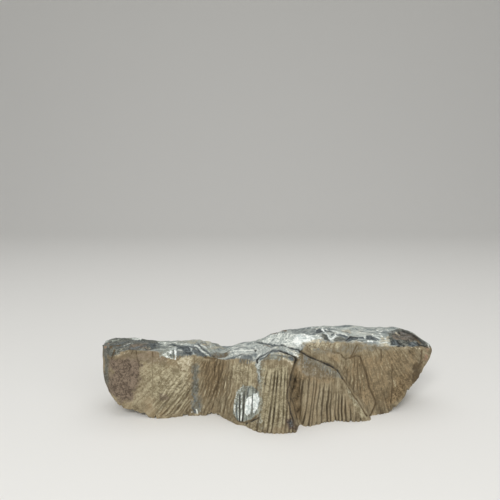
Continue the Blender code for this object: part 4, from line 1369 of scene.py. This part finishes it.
    def plain_flow(self, points: np.ndarray, normals: np.ndarray) -> np.ndarray:
        """The coordinates that the streaks follow where no mass has furrows.

        Args:
            points: The points.
            normals: Their normals.

        Returns:
            The distance across and along the streaks, and a number of its own for the top and the ends.
        """
        x, y, z = points.T
        by_layer, by_depth = self.TOP_FLOW
        across = by_layer * self.layer(points) + by_depth * y
        on_top = np.stack([across, x, np.full(len(points), self.TOP_TAG)], axis=1)
        elsewhere = np.stack([y + self.END_FLOW * x, z, np.full(len(points), self.END_TAG)], axis=1)
        return np.where(normals[:, 2:] > self.FACES_UP, on_top, elsewhere)

    def chips(self, points: np.ndarray) -> np.ndarray:
        """The chips along the foot of the cliff.

        Args:
            points: The points.

        Returns:
            How far each point is raised.
        """
        x, y, z = points.T
        foot = np.maximum(through(self.foot, x), 0)
        near = ease(*self.CHIP_HEIGHT, z - foot) * ease(*self.CHIP_DEPTH, y - self.cliff.depth(x, foot))
        ragged = sum(height * lumps(points, size, seed) for size, height, seed in self.CHIP_WAVES)
        return self.CHIP * near * np.clip(ragged, 0, self.CHIP_LIMIT)

    def place_in_view(self, points: np.ndarray) -> np.ndarray:
        """Where each point shows in the view, with the raggedness that gives the marks broken edges.

        Args:
            points: Points in metres in the model's frame.

        Returns:
            A column and a row for each point.
        """
        place = self.view.pixels(points)
        for axis in range(2):
            for size, height in self.RAGGED:
                place[:, axis] += height * lumps(points / METRE, (size,) * 3, self.RAGGED_SEED + axis)
        return place

    def carve(self, stone: bpy.types.Object, centre: np.ndarray) -> None:
        """Cuts everything into the block and paints its attributes.

        Args:
            stone: The block in millimetres.
            centre: How far the block moves to stand on its origin, in millimetres.
        """
        mesh = stone.data
        points = read(mesh.vertices, "co")
        normals = read(mesh.vertex_normals, "vector")
        x, _, z = points.T
        front = ease(*self.FACING, -normals[:, 1])
        back = ease(*self.FACING, normals[:, 1])
        nearest = self.cliff.faces(x, z).argmin(axis=0)
        cut = np.zeros(len(points))
        soil = np.zeros(len(points))
        flow = self.plain_flow(points, normals)
        for mass, fan in self.fans.items():
            if mass is Mass.BACK:
                here, facing = normals[:, 1] > self.FACES_BACK, back
            else:
                here, facing = (nearest == mass.value) & (front > 0), front
            strength = facing[here] * self.strength(mass, x[here], z[here])
            depth, earth = fan.furrows(x[here], z[here])
            cut[here] += strength * depth
            soil[here] += strength * earth
            across, along = fan.place(x[here], z[here])
            flow[here] = np.stack([across, along, np.full(len(across), self.MASS_TAG * mass.value)], axis=1)
        cut -= self.LEDGE_SHARE * ease(*self.FACING_FOR_LEDGES, normals[:, 2]) * self.ledges(points)
        for size, height, seed in self.wear:
            cut += height * lumps(points, size, seed)
        tints, drawn = self.draw(points, normals, centre)
        top = self.pale(points, normals) * (1 - tints.pop(Tint.BARE.value))
        masks = {"top": top, "earth": np.clip(soil, 0, 1), "layer": self.layer(points), **tints}
        points = points - (cut + drawn)[:, None] * normals
        points[:, 2] = np.maximum(points[:, 2] + self.chips(points), 0)
        write(mesh.vertices, "co", points)
        mesh.update()
        self.paint(mesh, masks, flow)

    def draw(self, points: np.ndarray, normals: np.ndarray,
             centre: np.ndarray) -> tuple[dict[str, np.ndarray], np.ndarray]:
        """Draws the marks on what the eye sees of the stone.

        Args:
            points: The block's points in millimetres.
            normals: Their normals.
            centre: How far the block moves to stand on its origin.

        Returns:
            How fully each tint covers each point, by name, and how deep the marks are cut.
        """
        model = (points + centre) * METRE
        sight = np.array(self.view.eye) - model
        sight /= np.linalg.norm(sight, axis=1)[:, None]
        seen = ease(*self.FACES_THE_EYE, (sight * normals).sum(axis=1))
        place = self.place_in_view(model)
        rough = sum(height * lumps(points, (size,) * 3, self.ROUGH_SEED) for size, height in self.ROUGH)
        tints = {tint.value: np.zeros(len(points)) for tint in Tint}
        depth = np.zeros(len(points))
        for mark in DRAWN_MARKS:
            reach = self.MARK_REACH * mark.width
            corners = np.array(mark.points)
            after = place > corners.min(axis=0) - reach
            before = place < corners.max(axis=0) + reach
            near = np.all(after & before, axis=1) & (seen > 0)
            cover = mark.cover(place[near], rough[near]) * seen[near]
            tint = tints[mark.tint.value]
            tint[near] = np.maximum(tint[near], mark.strength * cover)
            if mark.cut:
                depth[near] = np.maximum(depth[near], mark.cut * cover)
        return tints, depth

    def paint(self, mesh: bpy.types.Mesh, masks: dict[str, np.ndarray], flow: np.ndarray) -> None:
        """Stores the masks and the furrows' own coordinates on the mesh, for its finish to read.

        Args:
            mesh: The stone's mesh.
            masks: One number for each vertex, by name.
            flow: The distance across and along the furrows, and which mass, for each vertex.
        """
        for name, values in masks.items():
            attribute = mesh.attributes.new(name, "FLOAT", "POINT")
            attribute.data.foreach_set("value", values.astype(np.float32))
        attribute = mesh.attributes.new("flow", "FLOAT_VECTOR", "POINT")
        attribute.data.foreach_set("vector", flow.astype(np.float32).ravel())


def srgb(red: float, green: float, blue: float) -> Linear:
    """A colour read by eye on a screen, from 0 to 255, as the linear colour that a shader takes."""
    return (*(((c / 255 + 0.055) / 1.055) ** 2.4 for c in (red, green, blue)), 1.0)


class Value:
    """A number that travels along a node tree: arithmetic on it adds Math nodes."""

    def __init__(self, painter: "Painter", socket: Socket) -> None:
        """Wraps a socket.

        Args:
            painter: The painter whose tree the socket is in.
            socket: The output socket.
        """
        self.painter = painter
        self.socket = socket

    def math(self, operation: str, *others: "Value | float", clamp: bool = False) -> "Value":
        """Adds one Math node.

        Args:
            operation: The node's operation.
            others: The values or numbers that follow this one.
            clamp: Whether the result stays between 0 and 1.

        Returns:
            The node's result.
        """
        return self.painter.calculate(operation, self, *others, clamp=clamp)

    def __add__(self, other: "Value | float") -> "Value":
        """This plus another."""
        return self.math("ADD", other)

    __radd__ = __add__

    def __sub__(self, other: "Value | float") -> "Value":
        """This less another."""
        return self.math("SUBTRACT", other)

    def __rsub__(self, other: "Value | float") -> "Value":
        """A number less this."""
        return self.painter.calculate("SUBTRACT", other, self)

    def __mul__(self, other: "Value | float") -> "Value":
        """This times another."""
        return self.math("MULTIPLY", other)

    __rmul__ = __mul__

    def clamped(self) -> "Value":
        """This, kept between 0 and 1."""
        return self.math("ADD", 0.0, clamp=True)

    def larger(self, other: "Value | float") -> "Value":
        """The larger of this and another."""
        return self.math("MAXIMUM", other)

    def smaller(self, other: "Value | float") -> "Value":
        """The smaller of this and another."""
        return self.math("MINIMUM", other)

    def fraction(self) -> "Value":
        """What is left above the whole number below this."""
        return self.math("FRACT")

    def size(self) -> "Value":
        """This without its sign."""
        return self.math("ABSOLUTE")


class Painter:
    """Adds the nodes of one material."""

    def __init__(self, name: str) -> None:
        """Makes a new material with an empty tree.

        Args:
            name: The material's name.
        """
        self.material = bpy.data.materials.new(name)
        self.material.use_nodes = True
        self.tree = self.material.node_tree
        self.tree.nodes.clear()

    def node(self, kind: str, settings: dict | None = None, inputs: dict | None = None) -> bpy.types.Node:
        """Adds one node, sets it, and then fills its sockets.

        Args:
            kind: The node's type, without the word that all shader nodes begin with.
            settings: Its settings by name. The stops of a ramp are (position, colour) pairs.
            inputs: The numbers, colours or values for its sockets, by name or number.

        Returns:
            The node.
        """
        node = self.tree.nodes.new("ShaderNode" + kind)
        for name, setting in (settings or {}).items():
            if name == "stops":
                while len(node.color_ramp.elements) < len(setting):
                    node.color_ramp.elements.new(1.0)
                for element, (position, colour) in zip(node.color_ramp.elements, setting):
                    element.position = position
                    element.color = colour
            else:
                setattr(node, name, setting)
        for name, value in (inputs or {}).items():
            if isinstance(value, Value):
                self.tree.links.new(value.socket, node.inputs[name])
            else:
                node.inputs[name].default_value = value
        return node

    def result(self, node: bpy.types.Node, output: str | int = 0) -> Value:
        """One output of a node."""
        return Value(self, node.outputs[output])

    def calculate(self, operation: str, *values: Value | float, clamp: bool = False) -> Value:
        """Adds one Math node.

        Args:
            operation: The node's operation.
            values: The values or numbers that it takes.
            clamp: Whether the result stays between 0 and 1.

        Returns:
            The node's result.
        """
        settings = {"operation": operation, "use_clamp": clamp}
        return self.result(self.node("Math", settings, dict(enumerate(values))))

    def attribute(self, name: str, output: str = "Fac") -> Value:
        """One of the mesh's own attributes."""
        return self.result(self.node("Attribute", {"attribute_name": name}), output)

    def parts(self, vector: Value) -> list[Value]:
        """The three parts of a vector."""
        node = self.node("SeparateXYZ", None, {0: vector})
        return [self.result(node, output) for output in range(3)]

    def join(self, *parts: Value) -> Value:
        """A vector made of three parts."""
        return self.result(self.node("CombineXYZ", None, dict(enumerate(parts))))

    def stretch(self, vector: Value, scale: tuple[float, float, float]) -> Value:
        """A vector with each of its parts multiplied."""
        return self.result(self.node("VectorMath", {"operation": "MULTIPLY"}, {0: vector, 1: scale}))

    def noise(self, vector: Value, scale: float, detail: float = 3.0, roughness: float = 0.55,
              distortion: float = 0.0) -> Value:
        """Noise from 0 to 1, mostly near the middle.

        Args:
            vector: Where to read it.
            scale: How many lumps there are to a unit of length.
            detail: How many finer layers of lumps lie over the first.
            roughness: How strong the finer layers are.
            distortion: How far it is pulled about.

        Returns:
            The noise.
        """
        inputs = {"Vector": vector, "Scale": scale, "Detail": detail, "Roughness": roughness,
                  "Distortion": distortion}
        return self.result(self.node("TexNoise", None, inputs))

    def rise(self, value: Value, low: float, high: float) -> Value:
        """Goes smoothly from 0 at low to 1 at high, or down if low is the greater.

        Args:
            value: The value to read.
            low: Where the result is 0.
            high: Where it is 1.

        Returns:
            The result, from 0 to 1.
        """
        inputs = {"Value": value, "From Min": low, "From Max": high}
        if low > high:
            inputs.update({"From Min": high, "From Max": low, "To Min": 1.0, "To Max": 0.0})
        return self.result(self.node("MapRange", {"interpolation_type": "SMOOTHSTEP"}, inputs))

    def mix(self, amount: Value | float, first: Value | Linear, second: Value | Linear) -> Value:
        """A colour between two.

        Args:
            amount: 0 for the first colour, 1 for the second.
            first: A colour or a value.
            second: A colour or a value.

        Returns:
            The mixed colour.
        """
        settings = {"data_type": "RGBA", "clamp_factor": True}
        return self.result(self.node("Mix", settings, {0: amount, 6: first, 7: second}), 2)

    def ramp(self, value: Value, stops: list[tuple[float, Linear]]) -> Value:
        """A colour read from a row of colours.

        Args:
            value: Where to read, from 0 to 1.
            stops: (position, colour) pairs.

        Returns:
            The colour.
        """
        return self.result(self.node("ValToRGB", {"stops": stops}, {0: value}))


@dataclass(frozen=True)
class Limestone:
    """Weathered limestone: earthy streaks on the cliff, chalk and slate seams on the plateau.

    Attributes:
        earth: The cliff's colours, from the darkest to the lightest.
        plateau: The plateau's colours, from the darkest to the lightest.
        buff: A warmer shade that tinges the plateau here and there.
        warm: A warmer earth that tinges the cliff here and there.
        furrow: The soil in the furrows.
        seam: The thin lines where the plateau's layers end.
        tints: The colours of the drawn marks: the darkest, the lightest, how streaky they are and how broken.
    """

    earth: tuple[Colour, ...] = ((78, 66, 47), (108, 96, 73), (133, 121, 96), (153, 142, 116),
                                (176, 167, 143))
    plateau: tuple[Colour, ...] = ((90, 97, 97), (125, 132, 130), (154, 160, 155), (181, 187, 180),
                                  (210, 213, 205))
    buff: Colour = (168, 160, 142)
    warm: Colour = (134, 112, 80)
    furrow: Colour = (60, 48, 32)
    seam: Colour = (86, 94, 98)
    tints: dict[Tint, tuple[Colour, Colour, float, float]] = field(default_factory=lambda: {
        Tint.WARM: ((88, 72, 48), (146, 127, 96), 0.8, 0.5),
        Tint.KHAKI: ((120, 110, 84), (170, 161, 133), 0.8, 0.6),
        Tint.ASH: ((58, 61, 57), (120, 121, 112), 0.5, 0.5),
        Tint.UMBER: ((72, 60, 50), (130, 115, 98), 0.2, 0.5),
        Tint.GREY: ((106, 110, 101), (156, 161, 151), 0.5, 0.7),
        Tint.STRAW: ((136, 125, 98), (186, 177, 149), 0.5, 0.8),
        Tint.CREAM: ((158, 147, 120), (204, 195, 170), 0.6, 1.0),
        Tint.CHALK: ((160, 169, 165), (234, 237, 228), 0.6, 1.0),
        Tint.WHITE: ((196, 205, 201), (248, 250, 244), 0.6, 1.0),
        Tint.SLATE: ((46, 52, 55), (106, 112, 112), 0.4, 0.9),
        Tint.SOIL: ((62, 49, 33), (98, 83, 59), 0.4, 0.9),
        Tint.RUST: ((120, 96, 77), (166, 137, 113), 0.2, 1.0),
        Tint.BLACK: ((22, 21, 20), (44, 42, 38), 0.2, 0.8),
    })

    STREAK = (1.0, 0.06, 1.0)
    FINE_STREAK = (1.0, 0.13, 1.0)

    # Each noise's scale, detail and roughness, and how far it is pulled about if it is.
    STREAK_NOISE = (0.62, 5, 0.78, 0.3)
    FINE_NOISE = (1.15, 4, 0.8)
    BROAD_NOISE = (0.07, 3, 0.55)
    BLOTCH_NOISE = (0.28, 6, 0.72, 0.5)
    GRAIN_NOISE = (0.95, 5, 0.78)
    STRATA_NOISE = (1.0, 5, 0.7)
    THIN_NOISE = (1.0, 3, 0.6)

    RELIEF = (0.5, 0.3, 0.35)
    BUMP = 0.55
    BUMP_HEIGHT = 0.00045
    ROUGHNESS = 0.72
    ROUGHNESS_SWING = 0.25
    SHINE = 0.35
    STOPS = (0.05, 0.28, 0.5, 0.72, 0.95)
    SOIL_SHOWS = (0.15, 0.9)
    SOIL_MOST = 0.8
    CLIFF_TONE = 0.53
    CLIFF_SWINGS = (1.2, 1.0, 0.8, 0.9, 0.9)
    CLIFF_WARMTH = (0.45, 0.75)
    CLIFF_WARMEST = 0.45
    PLATEAU_TONE = 0.54
    PLATEAU_SWINGS = (1.9, 1.1, 1.1, 0.5)
    PLATEAU_WARMTH = (0.5, 0.72)
    PLATEAU_WARMEST = 0.5
    STRATA = (0.05, 0.08, 1.5)
    THIN_STRATA = (0.09, 0.2, 4.0)
    SEAM_WIDTH = (0.1, 0.03)
    SECOND_SEAM = (2.3, 0.2)
    SECOND_SEAM_WIDTH = (0.11, 0.03)
    SEAM_STRENGTHS = (0.7, 0.45)
    SEAMS_BREAK = (0.6, 0.46)
    MARK_WEARS = 3.0
    MARK_STREAKS = 4.0
    MARK_SHOWS = (0.12, 0.88)

    def material(self) -> bpy.types.Material:
        """Mixes the stone's finish.

        Returns:
            The material.
        """
        paint = Painter("weathered_limestone")
        coordinates = paint.node("TexCoord")
        place = paint.stretch(paint.result(coordinates, "Object"), (1 / METRE,) * 3)
        flow = paint.attribute("flow", "Vector")
        streak = paint.noise(paint.stretch(flow, self.STREAK), *self.STREAK_NOISE)
        fine = paint.noise(paint.stretch(flow, self.FINE_STREAK), *self.FINE_NOISE)
        broad = paint.noise(place, *self.BROAD_NOISE)
        blotch = paint.noise(place, *self.BLOTCH_NOISE)
        grain = paint.noise(place, *self.GRAIN_NOISE)
        cliff = self.cliff(paint, streak, fine, broad, blotch, grain)
        plateau = self.top(paint, place, broad, blotch, grain)
        colour = paint.mix(paint.attribute("top"), cliff, plateau)
        soil = paint.rise(paint.attribute("earth") + (fine - 0.5) * 0.5, *self.SOIL_SHOWS)
        colour = self.tinted(paint, colour, soil * self.SOIL_MOST, (streak, grain, blotch))
        by_streak, by_fine, by_grain = self.RELIEF
        height = streak * by_streak + fine * by_fine + grain * by_grain
        relief = {"Strength": self.BUMP, "Distance": self.BUMP_HEIGHT, "Height": height}
        bump = paint.node("Bump", None, relief)
        shader = paint.node("BsdfPrincipled", None, {
            "Base Color": colour,
            "Roughness": self.ROUGHNESS + grain * self.ROUGHNESS_SWING,
            "Specular IOR Level": self.SHINE,
            "Normal": paint.result(bump),
        })
        paint.node("OutputMaterial", None, {"Surface": paint.result(shader)})
        return paint.material

    def shades(self, colours: tuple[Colour, ...]) -> list[tuple[float, Linear]]:
        """The stops of a ramp through a row of colours."""
        return [(position, srgb(*colour)) for position, colour in zip(self.STOPS, colours)]

    def cliff(self, paint: Painter, streak: Value, fine: Value, broad: Value, blotch: Value,
              grain: Value) -> Value:
        """The cliff's colour: streaks that follow the furrows, in earth tones.

        Args:
            paint: The painter.
            streak: Long streaks.
            fine: Finer streaks.
            broad: Slow changes over the stone.
            blotch: Blotches.
            grain: Grain.

        Returns:
            The colour.
        """
        tone = self.CLIFF_TONE
        for noise, swing in zip((streak, fine, broad, blotch, grain), self.CLIFF_SWINGS):
            tone = tone + (noise - 0.5) * swing
        colour = paint.ramp(tone.clamped(), self.shades(self.earth))
        warmth = paint.rise(broad + (blotch - 0.5) * 0.5, *self.CLIFF_WARMTH)
        return paint.mix(warmth * self.CLIFF_WARMEST, colour, srgb(*self.warm))

    def top(self, paint: Painter, place: Value, broad: Value, blotch: Value, grain: Value) -> Value:
        """The plateau's colour: chalk and grey, with thin seams where its layers end.

        Args:
            paint: The painter.
            place: The place in millimetres.
            broad: Slow changes over the stone.
            blotch: Blotches.
            grain: Grain.

        Returns:
            The colour.
        """
        layer = paint.attribute("layer") + (blotch - 0.5) * 0.3
        x, y, _ = paint.parts(place)
        along, across, up = self.STRATA
        strata = paint.noise(paint.join(x * along, y * across, layer * up), *self.STRATA_NOISE)
        along, across, up = self.THIN_STRATA
        thin = paint.noise(paint.join(x * along, y * across, layer * up), *self.THIN_NOISE)
        tone = self.PLATEAU_TONE
        for noise, swing in zip((strata, thin, grain, broad), self.PLATEAU_SWINGS):
            tone = tone + (noise - 0.5) * swing
        colour = paint.ramp(tone.clamped(), self.shades(self.plateau))
        warmth = paint.rise(blotch + (strata - 0.5) * 0.8, *self.PLATEAU_WARMTH)
        colour = paint.mix(warmth * self.PLATEAU_WARMEST, colour, srgb(*self.buff))
        repeat, offset = self.SECOND_SEAM
        first = paint.rise(((layer + 0.5).fraction() - 0.5).size(), *self.SEAM_WIDTH)
        second = paint.rise(((layer * repeat + offset).fraction() - 0.5).size(), *self.SECOND_SEAM_WIDTH)
        lines = (first * self.SEAM_STRENGTHS[0]).larger(second * self.SEAM_STRENGTHS[1])
        unbroken = paint.rise(thin + (grain - 0.5) * 0.6, *self.SEAMS_BREAK)
        return paint.mix(lines * unbroken, colour, srgb(*self.seam))

    def tinted(self, paint: Painter, colour: Value, soil: Value,
               noises: tuple[Value, Value, Value]) -> Value:
        """Lays the drawn marks over a colour, with broken edges, and the furrows' soil among them.

        Args:
            paint: The painter.
            colour: The colour beneath.
            soil: How much soil there is.
            noises: Long streaks, grain and blotches.

        Returns:
            The colour.
        """
        streak, grain, blotch = noises
        mottle = (grain - 0.5) * 5.0 + (blotch - 0.5) * 4.0 + 0.5
        wear = (blotch - 0.5) * 1.6 + (grain - 0.5) * 1.9 + (streak - 0.5) * 1.3
        for tint, (dark, light, streaky, broken) in self.tints.items():
            if tint is Tint.CHALK:
                colour = paint.mix(soil, colour, srgb(*self.furrow))
            cover = paint.attribute(tint.value)
            worn = cover + wear * (cover * self.MARK_WEARS).smaller(1.0) * broken
            amount = paint.rise(worn, *self.MARK_SHOWS)
            vary = (mottle + (streak - 0.5) * self.MARK_STREAKS * streaky).clamped()
            colour = paint.mix(amount, colour, paint.mix(vary, srgb(*dark), srgb(*light)))
        return colour


@dataclass(frozen=True)
class Stone:
    """The stone itself, one piece.

    Attributes:
        block: Its form.
        carving: What is cut into it.
        finish: Its finish.
        centre: How far the form moves to stand on its origin, in millimetres.
    """

    block: Block = field(default_factory=Block)
    carving: Carving = field(default_factory=Carving)
    finish: Limestone = field(default_factory=Limestone)
    centre: tuple[float, float, float] = (0.4, 2.6, 0.0)

    SHARPEST = math.radians(60)
    THINNED = (((0, 0, -1), 0.9, 0.08), ((0, 1, 0), 0.5, 0.5))

    def build(self) -> bpy.types.Object:
        """Models, carves and dresses the stone, and puts it in the solid's place.

        Returns:
            The finished piece.
        """
        stone = self.block.model()
        log.info("stone: block of %d faces", len(stone.data.polygons))
        self.carving.carve(stone, np.array(self.centre))
        self.thin(stone)
        self.fit(stone)
        log.info("stone: carved, %d faces", len(stone.data.polygons))
        stone.data.materials.append(self.finish.material())
        bpy.ops.object.select_all(action="DESELECT")
        stone.select_set(True)
        bpy.context.view_layer.objects.active = stone
        bpy.ops.object.shade_smooth_by_angle(angle=self.SHARPEST)
        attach(stone, "root")
        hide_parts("stone")
        return stone

    def fit(self, stone: bpy.types.Object) -> None:
        """Puts the carved stone, in metres, exactly in the box of the solid that it stands for.

        Args:
            stone: The carved stone in millimetres.
        """
        lowest, highest = (np.array(corner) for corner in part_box("stone"))
        points = read(stone.data.vertices, "co")
        low = points.min(axis=0)
        share = (points - low) / (points.max(axis=0) - low)
        write(stone.data.vertices, "co", lowest + share * (highest - lowest))
        stone.data.update()

    def thin(self, stone: bpy.types.Object) -> None:
        """Leaves fewer faces on the underside and the back than on the cliff and the plateau.

        Args:
            stone: The carved stone.
        """
        bpy.ops.object.mode_set(mode="EDIT")
        bpy.ops.mesh.select_mode(type="FACE")
        for direction, least, ratio in self.THINNED:
            bpy.ops.mesh.select_all(action="DESELECT")
            mesh = bmesh.from_edit_mesh(stone.data)
            for face in mesh.faces:
                face.select_set(face.normal.dot(Vector(direction)) > least)
            bmesh.update_edit_mesh(stone.data)
            bpy.ops.mesh.decimate(ratio=ratio)
        bpy.ops.object.mode_set(mode="OBJECT")


@dataclass(frozen=True)
class Studio:
    """A pale floor that sweeps up behind, soft lights and the camera.

    Attributes:
        view: Where the camera stands.
        floor_colour: The floor's colour.
    """

    view: View = field(default_factory=View)
    floor_colour: Colour = (226, 225, 221)

    FLOOR = 5.0
    FLOOR_ROUGHNESS = 0.9
    BACKDROP = 1.6
    SWEEP = 0.8
    SWEEP_SEGMENTS = 24
    LAMPS = (
        ("key_light", (-0.22, -0.78, 0.68), 0.35, 5.4),
        ("fill_light", (0.5, -0.7, 0.4), 0.7, 2.0),
        ("top_light", (0.0, 0.1, 0.95), 0.9, 2.6),
    )
    AIM_HEIGHT = 0.02
    DAYLIGHT = 0.42
    NEAREST = 0.01

    def build(self) -> None:
        """Makes the floor, the lights, the world and the camera."""
        self.floor()
        for lamp in self.LAMPS:
            self.light(*lamp)
        world = bpy.data.worlds.new("studio")
        world.use_nodes = True
        background = world.node_tree.nodes["Background"]
        background.inputs["Color"].default_value = (1, 1, 1, 1)
        background.inputs["Strength"].default_value = self.DAYLIGHT
        bpy.context.scene.world = world
        bpy.context.scene.view_settings.view_transform = "Standard"
        self.camera()

    def floor(self) -> None:
        """Makes the floor, whose far edge is drawn up into a backdrop with a wide curve."""
        bpy.ops.object.select_all(action="DESELECT")
        bpy.ops.mesh.primitive_plane_add(size=self.FLOOR, location=(0, self.BACKDROP - self.FLOOR / 2, 0))
        floor = bpy.context.object
        floor.name = "floor"
        bpy.ops.object.transform_apply(location=True)
        bpy.ops.object.mode_set(mode="EDIT")
        bpy.ops.mesh.select_mode(type="EDGE")
        self.select_far_edge(floor)
        bpy.ops.mesh.extrude_region_move(TRANSFORM_OT_translate={"value": (0, 0, self.FLOOR / 2)})
        self.select_far_edge(floor)
        bpy.ops.mesh.bevel(offset=self.SWEEP, segments=self.SWEEP_SEGMENTS)
        bpy.ops.object.mode_set(mode="OBJECT")
        bpy.ops.object.shade_smooth()
        paint = Painter("pale_floor")
        finish = {"Base Color": srgb(*self.floor_colour), "Roughness": self.FLOOR_ROUGHNESS}
        shader = paint.node("BsdfPrincipled", None, finish)
        paint.node("OutputMaterial", None, {"Surface": paint.result(shader)})
        floor.data.materials.append(paint.material)

    def select_far_edge(self, floor: bpy.types.Object) -> None:
        """Selects, in edit mode, the edge that runs along the back of the floor at its own height.

        Args:
            floor: The floor.
        """
        bpy.ops.mesh.select_all(action="DESELECT")
        mesh = bmesh.from_edit_mesh(floor.data)
        for edge in mesh.edges:
            ends = [vert.co for vert in edge.verts]
            at_back = all(abs(end.y - self.BACKDROP) < METRE and abs(end.z) < METRE for end in ends)
            edge.select_set(at_back)
        bmesh.update_edit_mesh(floor.data)

    def light(self, name: str, place: tuple[float, float, float], size: float, power: float) -> None:
        """Adds a soft lamp that points at the stone.

        Args:
            name: The lamp's name.
            place: Where it hangs, in metres.
            size: How wide it is.
            power: Its power in watts.
        """
        bpy.ops.object.light_add(type="AREA", location=place)
        lamp = bpy.context.object
        lamp.name = name
        lamp.data.size = size
        lamp.data.energy = power
        x, y, z = place
        lamp.rotation_euler = (math.atan2(math.hypot(x, y), z - self.AIM_HEIGHT), 0, math.atan2(x, -y))

    def camera(self) -> None:
        """Makes the camera at the photograph's viewing angle."""
        bpy.ops.object.camera_add(location=self.view.eye)
        camera = bpy.context.object
        camera.name = "camera"
        camera.rotation_euler = (math.radians(90 - self.view.pitch), 0, 0)
        camera.data.lens = self.view.lens
        camera.data.sensor_width = self.view.SENSOR
        camera.data.clip_start = self.NEAREST
        bpy.context.scene.camera = camera


def main() -> None:
    """Builds the stone and the studio around it, and logs its progress."""
    Stone().build()
    log.info("stone: dressed")
    Studio().build()
    log.info("studio: ready")


if __name__ == "__main__":
    main()
